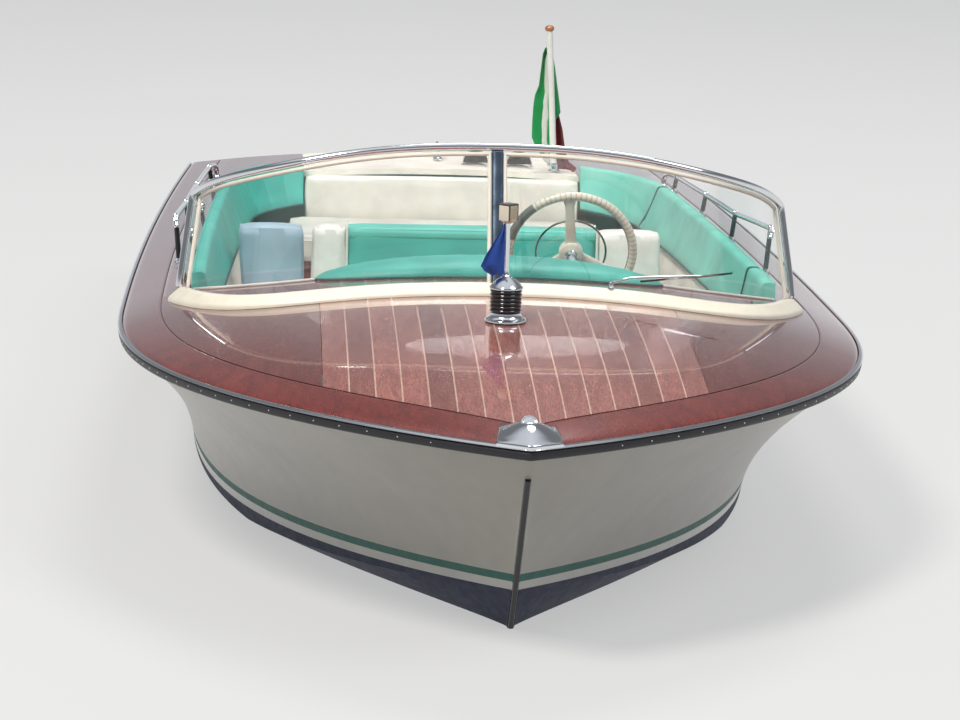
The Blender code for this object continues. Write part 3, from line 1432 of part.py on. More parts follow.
def build_strut_and_log():
    axis = (shaft_point(PROP_STATION) - shaft_point(SHAFT_INNER_STATION)).normalized()
    centre = shaft_point(STRUT_STATION)
    strut = cylinder("shaft_strut", STRUT_RADIUS, centre - axis * STRUT_LENGTH / 2, centre + axis * STRUT_LENGTH / 2,
                     "bronze")
    half = STRUT_PLATE_THICKNESS / 2
    arm = box("strut_arm", (-half, centre.y - STRUT_CHORD / 2, centre.z), (half, centre.y + STRUT_CHORD / 2, 0),
              "bronze", GUIDES)
    fuse(strut, arm)
    cut(strut, outside_of_hull("hull_form_strut"))
    bore = SHAFT_RADIUS + RUNNING_GAP
    cut(strut, cylinder("strut_bore", bore, centre - axis * STRUT_LENGTH, centre + axis * STRUT_LENGTH, "bronze",
                        GUIDES))
    inner = shaft_point(SHAFT_INNER_STATION)
    log = cylinder("shaft_log", LOG_RADIUS, inner - axis * LOG_RADIUS, inner + axis * LOG_LENGTH, "bronze",
                   end_radius=LOG_RADIUS * 0.75)
    cut(log, outside_of_hull("hull_form_log"))
    cut(log, cylinder("log_bore", bore, inner - axis * RUNNING_GAP, inner + axis * LOG_LENGTH * 2, "bronze",
                      GUIDES))


def build_rudder():
    x = 0
    boss_low = keel_height(RUDDER_STATION) - RUDDER_BOSS_DROP
    y = y_of(RUDDER_STATION)
    boss = cylinder("rudder_boss", RUDDER_BOSS_RADIUS, (x, y, boss_low), (x, y, 0), "bronze")
    cut(boss, outside_of_hull("hull_form_rudder"))
    cut(boss, cylinder("stock_bore", STOCK_RADIUS + RUNNING_GAP, (x, y, boss_low - STOCK_ENTRY),
                       (x, y, boss_low + STOCK_ENTRY + RUNNING_GAP), "bronze", GUIDES))
    top = boss_low - RUDDER_TOP_DROP + RUDDER_BOSS_DROP
    ahead = -RUDDER_CHORD * RUDDER_BALANCE_SHARE
    behind = RUDDER_CHORD + ahead
    rings = []
    for z, chord_share, slide_share in ((top, 1.0, 0.0), (top - RUDDER_HEIGHT * 0.7, 0.92, 0.02),
                                        (top - RUDDER_HEIGHT, 0.72, 0.05)):
        slide = RUDDER_CHORD * slide_share
        thick = RUDDER_THICKNESS * chord_share / 2
        places = ((ahead, 0.25), (ahead * 0.4, 0.8), (0, 1.0), (behind * 0.5, 0.7), (behind, 0.12))
        side = [(thick * width, y + slide + place * chord_share, z) for place, width in places]
        rings.append(side + [(-px, py, pz) for px, py, pz in reversed(side)])
    rudder = loft("rudder", rings, "bronze")
    fuse(rudder, cylinder("rudder_stock", STOCK_RADIUS, (x, y, top - RUDDER_HEIGHT / 4),
                          (x, y, boss_low + STOCK_ENTRY), "bronze", GUIDES))


build_hull()
build_rails()
build_stem_band()
build_bow_plate()
build_covering_boards()
build_foredeck()
build_side_decks()
build_screen_base()
build_glass()
build_screen_frame()
build_wiper()
build_bow_lamp()
build_dash()
build_column()
build_wheel()
build_helm_fittings()
build_sole()
build_coaming()
build_linings()
build_front_seat()
build_rear_seat()
build_engine()
build_vents()
build_cleat()
build_flagstaff()
build_handrails()
build_propeller()
build_strut_and_log()
build_rudder()
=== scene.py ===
from math import asin, copysign, cos, hypot, pi, radians, sin, sqrt, tan

import bmesh
import bpy
from mathutils import Matrix, Vector


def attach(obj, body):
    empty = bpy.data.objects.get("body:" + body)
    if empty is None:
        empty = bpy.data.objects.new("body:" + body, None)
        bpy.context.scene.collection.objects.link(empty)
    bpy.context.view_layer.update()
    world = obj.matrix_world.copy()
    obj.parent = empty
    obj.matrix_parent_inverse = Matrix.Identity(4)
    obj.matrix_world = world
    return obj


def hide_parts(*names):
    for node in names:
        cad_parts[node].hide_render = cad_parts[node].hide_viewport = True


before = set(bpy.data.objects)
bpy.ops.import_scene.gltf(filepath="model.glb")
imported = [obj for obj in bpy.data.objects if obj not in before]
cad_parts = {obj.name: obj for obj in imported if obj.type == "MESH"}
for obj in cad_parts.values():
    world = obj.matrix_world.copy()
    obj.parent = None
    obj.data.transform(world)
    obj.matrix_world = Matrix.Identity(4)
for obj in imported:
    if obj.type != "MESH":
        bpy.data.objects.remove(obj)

# The boat's lines.  Metres, bow towards -Y, port towards +X, water at zero.
# A station is a distance aft of the stem head.
LENGTH = 5.7
HALF_BEAM = 1.05
WIDEST_STATION = 2.133
BOW_HEIGHT = 0.584
STEM_HALF = 0.009
CHINE_START = 0.42
FOREFOOT = 0.66
KEEL_DEEP_STATION = 2.3
HULL_WALL = 0.028
TRANSOM_WALL = 0.035
DECK_CROWN = 0.152
DECK_THICKNESS = 0.022
COVERING_WIDTH = 0.11
SIDE_DECK_WIDTH = 0.195
PANEL_HALF = 0.49
PLANK_COUNT = 15
COCKPIT_FRONT = 1.86
CORNER_DEPTH = 0.2
CORNER_WIDTH = 0.36
CORNER_START = 4.6
AFT_HALF = 0.51
AFT_FRONT = 5.03
SEAM = 0.0012
SOLE = -0.1
COAMING_FRONT = 2.08
COAMING_HEIGHT = 0.155
SCREEN_HALF = 0.875
GLASS_TOP_HALF = 0.842
GLASS_TOP_HEIGHT = 1.076
SCREEN_BEND = 7
POST_HALF = 0.0168
LAMP_STATION = 1.1
LAMP_GLASS = 0.062
SEAT_STATION = 2.95
SEAT_HALF = 0.6
BACK_TOP = 0.585
LID_TOP = 0.2963
VENT_STATION = 5.2
VENT_LENGTH = 0.135
CLEAT_STATION = 5.4
STAFF_X, STAFF_STATION = 0.42, 5.1
STAFF_HEIGHT = 0.53
STAFF_LEAN = radians(3.4)
FLAG_BELOW_TOP = 0.068
FLAG_WIDTH, FLAG_HEIGHT = 0.6, 0.4
CLOTH_THICKNESS = 0.0006
INNER_SKIN_START = 0.11
STEM_KINK_HEIGHT = 0.118
FOREFOOT_HEIGHT = -0.12
SCREW_COUNT, SCREW_PITCH, FIRST_SCREW, SCREW_RADIUS = 83, 0.0662, 0.16, 0.0022
RAIL_INSET, RAIL_OUT = 0.14, 0.012
HELM_PLACE, HELM_SLOPE = (0.27, 2.35, 0.685), radians(18.0)
WHEEL_RADIUS, WHEEL_NOTCHES = 0.187, 78
FLOOR_REACH = 70.0
PHOTO_WIDTH, PHOTO_FOCAL = 960, 3753
SENSOR = 36.0

bpy.context.scene.view_settings.view_transform = "Standard"
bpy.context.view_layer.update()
SIDES = {"port": 1, "starboard": -1}


def y_of(station):
    return station - LENGTH / 2


def mix(low, high, share):
    return low + (high - low) * share


def shares(count):
    return [i / count for i in range(count + 1)]


def both(half):
    """Shares from -1 to 1 out of those from 0 to 1."""
    return [-share for share in reversed(half[1:])] + half


def turns(count):
    """Angles evenly round a circle."""
    return [2 * pi * i / count for i in range(count)]


def sided(points, side):
    return [Vector((x * side, y, z)) for x, y, z in points]


def mm(pairs):
    """Pairs of millimetres, such as "40 24, 41.5 22.5", as pairs of metres."""
    return [tuple(float(value) / 1000 for value in pair.split()) for pair in pairs.split(",")]


def solve(function, target, low, high):
    for _ in range(40):
        middle = (low + high) / 2
        if function(middle) < target:
            low = middle
        else:
            high = middle
    return (low + high) / 2


def half_breadth(station):
    if station < WIDEST_STATION:
        ahead = max(1 - max(station, 0) / WIDEST_STATION, 0)
        return HALF_BEAM * (1 - ahead ** 2.759) ** (1 / 1.07)
    aft = (station - WIDEST_STATION) / (LENGTH - WIDEST_STATION)
    return HALF_BEAM * (1 - 0.109 * aft ** 2)


SHEER_START = solve(half_breadth, STEM_HALF, 0, WIDEST_STATION)


def sheer_height(station):
    share = station / LENGTH
    return BOW_HEIGHT - 0.124 * share + 0.018 * share ** 2


def chine_half(station):
    ahead = max(1 - max((station - CHINE_START) / 3.13, 0), 0)
    aft = max(station - CHINE_START - 3.13, 0) / LENGTH
    return 0.862 * (1 - ahead ** 2.9) * (1 - 0.04 * aft)


def chine_height(station):
    ahead = max(1 - max((station - CHINE_START) / 3.13, 0), 0)
    return -0.062 + 0.18 * ahead ** 2


def keel_height(station):
    if station < KEEL_DEEP_STATION:
        ahead = (KEEL_DEEP_STATION - station) / (KEEL_DEEP_STATION - FOREFOOT)
        return -0.31 + 0.19 * ahead ** 2.6
    aft = (station - KEEL_DEEP_STATION) / (LENGTH - KEEL_DEEP_STATION)
    return mix(-0.31, -0.235, aft ** 2)


def crown(station):
    aft = max(station - WIDEST_STATION, 0) / (LENGTH - WIDEST_STATION)
    return DECK_CROWN * half_breadth(station) / HALF_BEAM * (1 - 0.57 * aft)


def deck_height(x, station):
    reach = min(abs(x) / max(half_breadth(station), STEM_HALF), 1)
    return sheer_height(station) + crown(station) * (1 - reach ** 2.2)


def gunwale(station, out):
    """Plan point at a distance outside the gunwale, square to it."""
    step = LENGTH * 1e-4
    start = max(station, step)
    slope = (half_breadth(start + step) - half_breadth(start)) / step
    size = hypot(1, slope)
    return half_breadth(station) + out / size, station - out * slope / size


HULL_SHARES = [share ** 1.5 for share in shares(110)]
BOARD_SHARES = [share ** 1.5 for share in shares(120)][1:]


def board_row(share):
    place = mix(SHEER_START, LENGTH, share)
    outer = gunwale(place, 0)
    inner = gunwale(place, -COVERING_WIDTH)
    if inner[0] < SEAM:
        part = (outer[0] - SEAM) / (outer[0] - inner[0])
        inner = (SEAM, mix(outer[1], inner[1], part))
    return outer, (inner[0], min(inner[1], LENGTH))


BOARD_EDGE = [board_row(share)[1] for share in BOARD_SHARES]


def board_edge_station(x):
    for (x0, s0), (x1, s1) in zip(BOARD_EDGE, BOARD_EDGE[1:]):
        if x1 > abs(x) and x1 > x0:
            return mix(s0, s1, max(abs(x) - x0, 0) / (x1 - x0))
    return BOARD_EDGE[-1][1]


def board_edge_x(station):
    for (x0, s0), (x1, s1) in zip(BOARD_EDGE, BOARD_EDGE[1:]):
        if s1 > station:
            return mix(x0, x1, (station - s0) / (s1 - s0))
    return BOARD_EDGE[-1][0]


def cockpit_front(x):
    reach = min(max(abs(x) - PANEL_HALF, 0) / CORNER_WIDTH, 1)
    return COCKPIT_FRONT + CORNER_DEPTH * reach ** 2


def opening_edge(share):
    """Plan point and inward direction along the port side of the cockpit's edge."""
    if share <= 0.75:
        station = mix(COAMING_FRONT, CORNER_START, share / 0.75)
        return half_breadth(station) - SIDE_DECK_WIDTH, station, (-1.0, 0.0)
    turn = (share - 0.75) / 0.25 * pi / 2
    across = half_breadth(CORNER_START) - SIDE_DECK_WIDTH - AFT_HALF
    along = AFT_FRONT - CORNER_START
    inward = Vector((-cos(turn) * along, -sin(turn) * across)).normalized()
    return AFT_HALF + across * cos(turn), CORNER_START + along * sin(turn), (inward.x, inward.y)


# Mesh helpers

def show(name, data):
    """A new object in the scene."""
    made = bpy.data.objects.new(name, data)
    bpy.context.scene.collection.objects.link(made)
    return made


def build(name, points, faces, looks, index=None, sharp=35, body="boat", replaces=(), slot=None):
    """A mesh object with its materials, riding on a body; its slot, or that of its first look, is looked up but not
    kept.
    """
    mesh = bpy.data.meshes.new(name)
    mesh.from_pydata([tuple(point) for point in points], [], faces)
    for look in looks if isinstance(looks, (list, tuple)) else [looks]:
        mesh.materials.append(look)
    if index:
        mesh.polygons.foreach_set("material_index", index)
    bm = bmesh.new()
    bm.from_mesh(mesh)
    bmesh.ops.remove_doubles(bm, verts=bm.verts, dist=1e-6)
    bmesh.ops.recalc_face_normals(bm, faces=bm.faces)
    bm.to_mesh(mesh)
    bm.free()
    mesh.shade_smooth()
    mesh.set_sharp_from_angle(angle=radians(sharp))
    made = show(name, mesh)
    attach(made, body)
    if replaces:
        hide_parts(*replaces)
    slot or SLOT_OF[mesh.materials[0].name]
    return made


def skin(name, rings, looks, bands=None, by_ring=None, caps=True, closed=True, around=True, **more):
    """Skin rings of matching points.  bands gives each strip's material, by_ring that of each ring."""
    count = len(rings[0])
    points = [point for ring in rings for point in ring]
    faces, index = [], []
    spans = len(rings) if not closed else len(rings) - 1
    for i in range(spans):
        j = (i + 1) % len(rings)
        for k in range(count if around else count - 1):
            m = (k + 1) % count
            faces.append((i * count + k, i * count + m, j * count + m, j * count + k))
            index.append(by_ring(i) if by_ring else bands[k] if bands else 0)
    if caps and closed:
        faces.append(tuple(range(count)))
        last = (len(rings) - 1) * count
        faces.append(tuple(last + k for k in range(count)))
        index += [0, 0]
    return build(name, points, faces, looks, index, **more)


def lathe(name, profile, centre, look, axis=(0, 0, 1), steps=56, **more):
    """Spin (radius, height) points about an axis through the centre."""
    turn = Vector((0, 0, 1)).rotation_difference(Vector(axis)).to_matrix()
    rings = [[Vector(centre) + turn @ Vector((radius * cos(angle), radius * sin(angle), height))
              for radius, height in profile] for angle in turns(steps)]
    return skin(name, rings, look, closed=False, around=False, **more)


def curve_points(points, steps=6):
    """Catmull-Rom points through the given ones."""
    points = [Vector(point) for point in points]
    padded = [points[0] * 2 - points[1]] + points + [points[-1] * 2 - points[-2]]
    made = []
    for i in range(1, len(padded) - 2):
        a, b, c, d = padded[i - 1:i + 3]
        for k in range(steps):
            t = k / steps
            made.append(0.5 * (2 * b + (c - a) * t + (2 * a - 5 * b + 4 * c - d) * t * t
                               + (3 * b - a - 3 * c + d) * t ** 3))
    return made + [points[-1]]


def tube(name, points, radius, look, sides=14, smooth_steps=0, squash=1.0, **more):
    """A round bar along points, with rounded ends.  radius may be a list of one size a point."""
    if smooth_steps:
        points = curve_points(points, smooth_steps)
    points = [Vector(point) for point in points]
    sizes = radius if isinstance(radius, (list, tuple)) else [radius] * len(points)
    rings = []
    up = None
    for i, point in enumerate(points):
        along = (points[min(i + 1, len(points) - 1)] - points[max(i - 1, 0)]).normalized()
        if up is None:
            up = Vector((0, 0, 1)) if abs(along.z) < 0.9 else Vector((0, 1, 0))
        side = along.cross(up).normalized()
        up = side.cross(along).normalized()
        rings.append([point + (side * cos(turn) + up * squash * sin(turn)) * sizes[i]
                      for turn in turns(sides)])
    for end, place in ((0, 0), (len(rings), -1)):
        centre = points[place]
        away = (centre - points[1 if place == 0 else -2]).normalized()
        rings.insert(end, [centre + away * sizes[place] * 0.5 + (p - centre) * 0.7 for p in rings[place]])
    return skin(name, rings, look, **more)


def cushion(name, low, high, look, radius, crown_size, cuts, warp=None, fill=0.7, **more):
    """A padded block: rounded edges, crowned faces, sides pulled in between the corners."""
    low, high = Vector(low), Vector(high)
    centre, half = (low + high) / 2, (high - low) / 2
    bm = bmesh.new()
    bmesh.ops.create_cube(bm, size=2)
    bmesh.ops.subdivide_edges(bm, edges=bm.edges, cuts=cuts, use_grid_fill=True)
    inner = [side - radius for side in half]
    for vert in bm.verts:
        p = vert.co.copy()
        at = Vector([p[i] * half[i] for i in range(3)])
        core = Vector([max(-inner[i], min(inner[i], at[i])) for i in range(3)])
        out = at - core
        if out.length > 1e-9:
            core += out.normalized() * radius
        q = [at[i] / half[i] for i in range(3)]
        for i in range(3):
            j, k = (i + 1) % 3, (i + 2) % 3
            if abs(q[i]) > 0.999:
                bulge = (1 - q[j] ** 2) * (1 - q[k] ** 2)
                core[i] += copysign(crown_size * (bulge ** 0.6 - 0.45), q[i])
        point = centre + core
        vert.co = warp(point) if warp else point
    bmesh.ops.recalc_face_normals(bm, faces=bm.faces)
    points = [vert.co.copy() for vert in bm.verts]
    faces = [tuple(vert.index for vert in face.verts) for face in bm.faces]
    bm.free()
    made = build(name, points, faces, look, sharp=80, **more)
    return made


# Materials

class Nodes:
    """Short calls for a material's nodes."""

    def __init__(self, name, colour, roughness=0.4, metallic=0.0, coat=0.0):
        self.made = bpy.data.materials.new(name)
        self.made.use_nodes = True
        self.tree = self.made.node_tree
        self.shader = self.tree.nodes["Principled BSDF"]
        self.set("Base Color", (*colour, 1.0))
        self.set("Roughness", roughness)
        self.set("Metallic", metallic)
        self.set("Coat Weight", coat)
        self.set("Coat Roughness", 0.03)
        self.place = None

    def set(self, socket, value):
        self.shader.inputs[socket].default_value = value

    def add(self, kind, **values):
        node = self.tree.nodes.new(kind)
        for key, value in values.items():
            if hasattr(node, key):
                setattr(node, key, value)
            else:
                node.inputs[key.replace("_", " ")].default_value = value
        return node

    def link(self, source, target):
        self.tree.links.new(source, target)

    def feed(self, slot, value):
        """Give a socket a link, a number or a colour."""
        if hasattr(value, "is_output"):
            self.link(value, slot)
        else:
            slot.default_value = (*value, 1.0) if hasattr(value, "__len__") else value

    def where(self, scale=(1, 1, 1)):
        """The place in the row frame, stretched."""
        if self.place is None:
            self.place = self.add("ShaderNodeTexCoord")
        mapping = self.add("ShaderNodeMapping")
        mapping.inputs["Scale"].default_value = scale
        self.link(self.place.outputs["Object"], mapping.inputs["Vector"])
        return mapping.outputs["Vector"]

    def noise(self, scale, stretch=(1, 1, 1), detail=4.0, distortion=0.0):
        node = self.add("ShaderNodeTexNoise", Scale=scale, Detail=detail, Distortion=distortion)
        self.link(self.where(stretch), node.inputs["Vector"])
        return node.outputs["Fac"]

    def ramp(self, value, stops):
        node = self.add("ShaderNodeValToRGB")
        ramp = node.color_ramp
        while len(ramp.elements) < len(stops):
            ramp.elements.new(0.5)
        for element, (at, colour) in zip(ramp.elements, stops):
            element.position = at
            element.color = (*colour, 1.0)
        self.link(value, node.inputs["Fac"])
        return node.outputs["Color"]

    def blend(self, share, first, second, kind="MIX"):
        node = self.add("ShaderNodeMix", data_type="RGBA", blend_type=kind)
        for slot, value in ((0, share), (6, first), (7, second)):
            self.feed(node.inputs[slot], value)
        return node.outputs[2]

    def range(self, value, low, high, start=0.0, end=1.0):
        node = self.add("ShaderNodeMapRange")
        for slot, amount in zip(node.inputs[1:5], (start, end, low, high)):
            slot.default_value = amount
        self.link(value, node.inputs["Value"])
        return node.outputs["Result"]

    def sum(self, kind, first, second):
        node = self.add("ShaderNodeMath", operation=kind)
        for slot, value in zip(node.inputs, (first, second)):
            self.feed(slot, value)
        return node.outputs[0]

    def bump(self, height, strength, distance=0.001):
        node = self.add("ShaderNodeBump", Strength=strength, Distance=distance)
        self.link(height, node.inputs["Height"])
        self.link(node.outputs["Normal"], self.shader.inputs["Normal"])

    def colour(self, output):
        self.link(output, self.shader.inputs["Base Color"])

    def rough(self, output):
        self.link(output, self.shader.inputs["Roughness"])


def wood(name, dark, middle, light, roughness=0.22, coat=1.0, along=(16, 1.1, 16), pitch=0.0):
    """Varnished timber with its grain along the boat; a pitch gives each plank its own tone."""
    nodes = Nodes(name, middle, roughness, coat=coat)
    figure = nodes.noise(2.6, along, 7.0, 0.9)
    tone = nodes.ramp(figure, [(0.28, dark), (0.5, middle), (0.74, light)])
    streak = nodes.noise(9.0, (along[0] * 2, along[1] * 1.4, along[2] * 2), 5.0, 0.3)
    tone = nodes.blend(0.45, tone, nodes.ramp(streak, [(0.35, dark), (0.62, light)]), "MIX")
    cloud = nodes.noise(1.7, (1, 0.6, 1), 2.0)
    tone = nodes.blend(0.28, tone, nodes.ramp(cloud, [(0.3, (0.35, 0.3, 0.3)), (0.7, (1, 1, 1))]), "MULTIPLY")
    if pitch:
        split = nodes.add("ShaderNodeSeparateXYZ")
        nodes.link(nodes.where(), split.inputs[0])
        across = nodes.sum("ADD", split.outputs["X"], PANEL_HALF)
        number = nodes.sum("FLOOR", nodes.sum("DIVIDE", across, pitch), 0.0)
        chance = nodes.add("ShaderNodeTexWhiteNoise", noise_dimensions="1D")
        nodes.link(number, chance.inputs["W"])
        shade = nodes.ramp(chance.outputs["Value"], [(0.0, (0.72, 0.68, 0.68)), (1.0, (1.12, 1.12, 1.12))])
        tone = nodes.blend(1.0, tone, shade, "MULTIPLY")
    nodes.colour(tone)
    pores = nodes.noise(60.0, (along[0], along[1] * 0.5, along[2]), 3.0)
    nodes.rough(nodes.range(pores, roughness * 0.8, roughness * 1.5))
    nodes.bump(nodes.noise(3.0, (1, 0.5, 1), 2.0), 0.05, 0.002)
    return nodes.made


def paint(name, colour, roughness=0.22, coat=0.6, vary=0.06):
    nodes = Nodes(name, colour, roughness, coat=coat)
    dark = tuple(c * (1 - vary * 2) for c in colour)
    light = tuple(min(c * (1 + vary), 1) for c in colour)
    patch = nodes.noise(3.0, (1, 0.5, 1.6), 5.0)
    tone = nodes.ramp(patch, [(0.3, dark), (0.7, light)])
    runs = nodes.noise(14.0, (1, 1, 0.08), 3.0)
    tone = nodes.blend(0.25, tone, nodes.ramp(runs, [(0.35, dark), (0.6, light)]))
    nodes.colour(tone)
    nodes.rough(nodes.range(nodes.noise(40.0), roughness * 0.8, roughness * 1.4))
    nodes.bump(nodes.noise(260.0, detail=2.0), 0.03, 0.0005)
    return nodes.made


def vinyl(name, colour, roughness=0.5, grain=1.0):
    """Coated cloth with a fine leather grain and worn tones."""
    nodes = Nodes(name, colour, roughness)
    dark = tuple(c * 0.82 for c in colour)
    light = tuple(min(c * 1.08, 1) for c in colour)
    nodes.colour(nodes.ramp(nodes.noise(7.0, detail=6.0), [(0.3, dark), (0.65, light)]))
    cells = nodes.add("ShaderNodeTexVoronoi", Scale=420.0)
    nodes.link(nodes.where(), cells.inputs["Vector"])
    folds = nodes.noise(26.0, detail=3.0)
    height = nodes.sum("ADD", cells.outputs["Distance"], nodes.sum("MULTIPLY", folds, 2.2))
    nodes.bump(height, 0.22 * grain, 0.0012)
    nodes.rough(nodes.range(folds, roughness * 0.8, roughness * 1.15))
    return nodes.made


def metal(name, colour, roughness=0.07, smudge=0.1):
    nodes = Nodes(name, colour, roughness, 1.0)
    marks = nodes.noise(22.0, detail=5.0)
    nodes.rough(nodes.range(marks, roughness, roughness + smudge, 0.35, 0.8))
    nodes.colour(nodes.ramp(nodes.noise(6.0), [(0.3, tuple(c * 0.9 for c in colour)), (0.7, colour)]))
    nodes.bump(nodes.noise(180.0, detail=2.0), 0.02, 0.0004)
    return nodes.made


def plain(name, colour, roughness=0.4, coat=0.0, vary=0.12, fine=90.0, bump=0.08):
    """Moulded or rubber surface with slight mottling."""
    nodes = Nodes(name, colour, roughness, coat=coat)
    dark, light = (tuple(c * share for c in colour) for share in (1 - vary, 1 + vary))
    nodes.colour(nodes.ramp(nodes.noise(fine * 0.3, detail=5.0), [(0.3, dark), (0.7, light)]))
    nodes.rough(nodes.range(nodes.noise(fine), roughness * 0.75, roughness * 1.3))
    nodes.bump(nodes.noise(fine * 6, detail=2.0), bump, 0.0005)
    return nodes.made


def cloth(name, colour, scale=900.0):
    nodes = Nodes(name, colour, 0.85)
    across = nodes.add("ShaderNodeTexWave", wave_type="BANDS", bands_direction="X", Scale=scale / 6)
    down = nodes.add("ShaderNodeTexWave", wave_type="BANDS", bands_direction="Z", Scale=scale / 6)
    for wave in (across, down):
        nodes.link(nodes.where(), wave.inputs["Vector"])
    weave = nodes.sum("MULTIPLY", across.outputs["Fac"], down.outputs["Fac"])
    dark = tuple(c * 0.72 for c in colour)
    nodes.colour(nodes.blend(nodes.range(weave, 0.1, 0.9), colour, dark))
    nodes.bump(weave, 0.25, 0.0006)
    nodes.set("Sheen Weight", 0.25)
    return nodes.made


def glass_look():
    nodes = Nodes("screen_glass", (0.93, 0.97, 0.98), 0.015)
    nodes.set("Transmission Weight", 1.0)
    nodes.set("IOR", 1.45)
    nodes.set("Alpha", 0.09)
    nodes.rough(nodes.range(nodes.noise(5.0, (1, 1, 0.3), 4.0), 0.005, 0.05, 0.4, 0.8))
    return nodes.made


MAHOGANY = wood("deck_mahogany", (0.075, 0.012, 0.01), (0.15, 0.026, 0.02), (0.235, 0.052, 0.036))
MARGIN = wood("margin_mahogany", (0.085, 0.009, 0.007), (0.16, 0.018, 0.012), (0.24, 0.035, 0.022),
              along=(9, 4, 9))
PLANKS = wood("plank_mahogany", (0.2, 0.06, 0.05), (0.33, 0.11, 0.088), (0.45, 0.175, 0.14),
              pitch=2 * PANEL_HALF / PLANK_COUNT)
INLAY = wood("maple_inlay", (0.5, 0.3, 0.22), (0.64, 0.42, 0.32), (0.74, 0.52, 0.42))
TEAK = wood("sole_teak", (0.2, 0.09, 0.04), (0.32, 0.15, 0.07), (0.42, 0.22, 0.11), 0.45, 0.2)
TOPSIDE = paint("topside_white", (0.6, 0.565, 0.495), 0.3, 0.2)
GREEN = paint("stripe_green", (0.004, 0.13, 0.095), 0.45, 0.0)
NAVY = paint("bottom_navy", (0.005, 0.011, 0.045), 0.55, 0.0)
STRIPE_WHITE = paint("stripe_white", (0.74, 0.72, 0.66))
CHROME = metal("chrome", (0.8, 0.82, 0.85))
BRONZE = metal("cast_bronze", (0.48, 0.29, 0.12), 0.28, 0.2)
RUBBER = plain("black_rubber", (0.013, 0.013, 0.016), 0.42)
# Near-black disc colour for the vent mouths: painted shade inside the scoops, not a seal.
VENT_MOUTH_SHADE = plain("painted_vent_shade", (0.02, 0.02, 0.022), 0.55)
SEAM_DARK = plain("dark_seam", (0.045, 0.01, 0.008), 0.35)
CREAM = plain("cream_moulding", (0.86, 0.8, 0.66), 0.35, 0.3, 0.04)
GASKET = plain("cream_gasket", (0.84, 0.79, 0.68), 0.4, 0.0, 0.04)
CREAM_VINYL = vinyl("cream_vinyl", (0.9, 0.84, 0.755))
# Cream vinyl darkened to grey: painted shade on the rear seat pad and the front bench base.
SHADED_CREAM_VINYL = vinyl("cream_vinyl_painted_shade", (0.66, 0.625, 0.57))
TURQUOISE = vinyl("turquoise_vinyl", (0.06, 0.46, 0.38))
# Lighter copy of the turquoise vinyl: painted sunlight on the port coaming pad.
SUNLIT_TURQUOISE = vinyl("turquoise_painted_sunlight", (0.16, 0.58, 0.47))
PIPING = vinyl("white_piping", (0.82, 0.78, 0.72), 0.4, 0.4)
DARK_PIPING = vinyl("dark_piping", (0.03, 0.07, 0.07), 0.5, 0.4)
LENS = plain("dark_lens", (0.01, 0.01, 0.012), 0.12, 0.8)
LAMP = plain("lamp_cream", (0.74, 0.69, 0.56), 0.3, 0.3, 0.05)
LAMP_DARK = plain("lamp_dark", (0.055, 0.05, 0.042), 0.25, 0.5)
LAMP_TAN = plain("lamp_tan", (0.52, 0.45, 0.32), 0.3, 0.3, 0.05)
WHEEL = plain("wheel_cream", (0.8, 0.74, 0.62), 0.28, 0.6, 0.05)
WRAP = plain("wheel_notch", (0.6, 0.46, 0.33), 0.5)
POLE = plain("pole_white", (0.86, 0.85, 0.81), 0.3, 0.4, 0.03)
KNOB = plain("knob_copper", (0.42, 0.16, 0.07), 0.35, 0.5, 0.1)
WHEEL_GREY = plain("wheel_grey", (0.16, 0.15, 0.14), 0.4)
BLUE = cloth("pennant_cloth", (0.008, 0.06, 0.33))
FLAG_GREEN = cloth("flag_green", (0.006, 0.33, 0.08))
FLAG_WHITE = cloth("flag_white", (0.8, 0.79, 0.76))
FLAG_RED = cloth("flag_red", (0.24, 0.014, 0.022))
DIAL = plain("dial_face", (0.78, 0.76, 0.7), 0.3, 0.2, 0.03)
ENGINE = plain("engine_enamel", (0.08, 0.2, 0.28), 0.35, 0.5)
GLASS = glass_look()
# Chrome tinted dark blue: a painted reflection of blue sky and water on the windscreen post.
SKY_PAINTED_CHROME = metal("post_chrome_painted_sky", (0.2, 0.27, 0.36), 0.16, 0.12)
PALE = vinyl("white_vinyl", (0.86, 0.83, 0.77))
# Lighter copy of the turquoise vinyl: painted light on the bench back's top face.
TOP_LIT_TURQUOISE = vinyl("turquoise_painted_top_light", (0.13, 0.56, 0.47))
# White vinyl tinted blue-grey: painted shade on the jump seat back.
BLUE_SHADE_VINYL = vinyl("shade_vinyl", (0.34, 0.46, 0.56))

SLOTS = {
    "topside_paint": (TOPSIDE,), "mahogany": (MAHOGANY, MARGIN, SEAM_DARK, KNOB), "planks": (PLANKS,),
    "chrome": (CHROME, SKY_PAINTED_CHROME), "rubber": (RUBBER, VENT_MOUTH_SHADE), "lens": (LENS,), "glass": (GLASS,),
    "white_lamp": (LAMP, LAMP_DARK, LAMP_TAN), "white_plastic": (WHEEL, POLE), "pennant_blue": (BLUE,),
    "flag_cloth": (FLAG_GREEN,), "cream_moulding": (CREAM, GASKET, DIAL),
    "cream_vinyl": (CREAM_VINYL, SHADED_CREAM_VINYL, PIPING),
    "turquoise_vinyl": (TURQUOISE, TOP_LIT_TURQUOISE, SUNLIT_TURQUOISE, BLUE_SHADE_VINYL, PALE, DARK_PIPING)}
SLOT_OF = {look.name: slot for slot, looks in SLOTS.items() for look in looks}


# Camera, light and stage

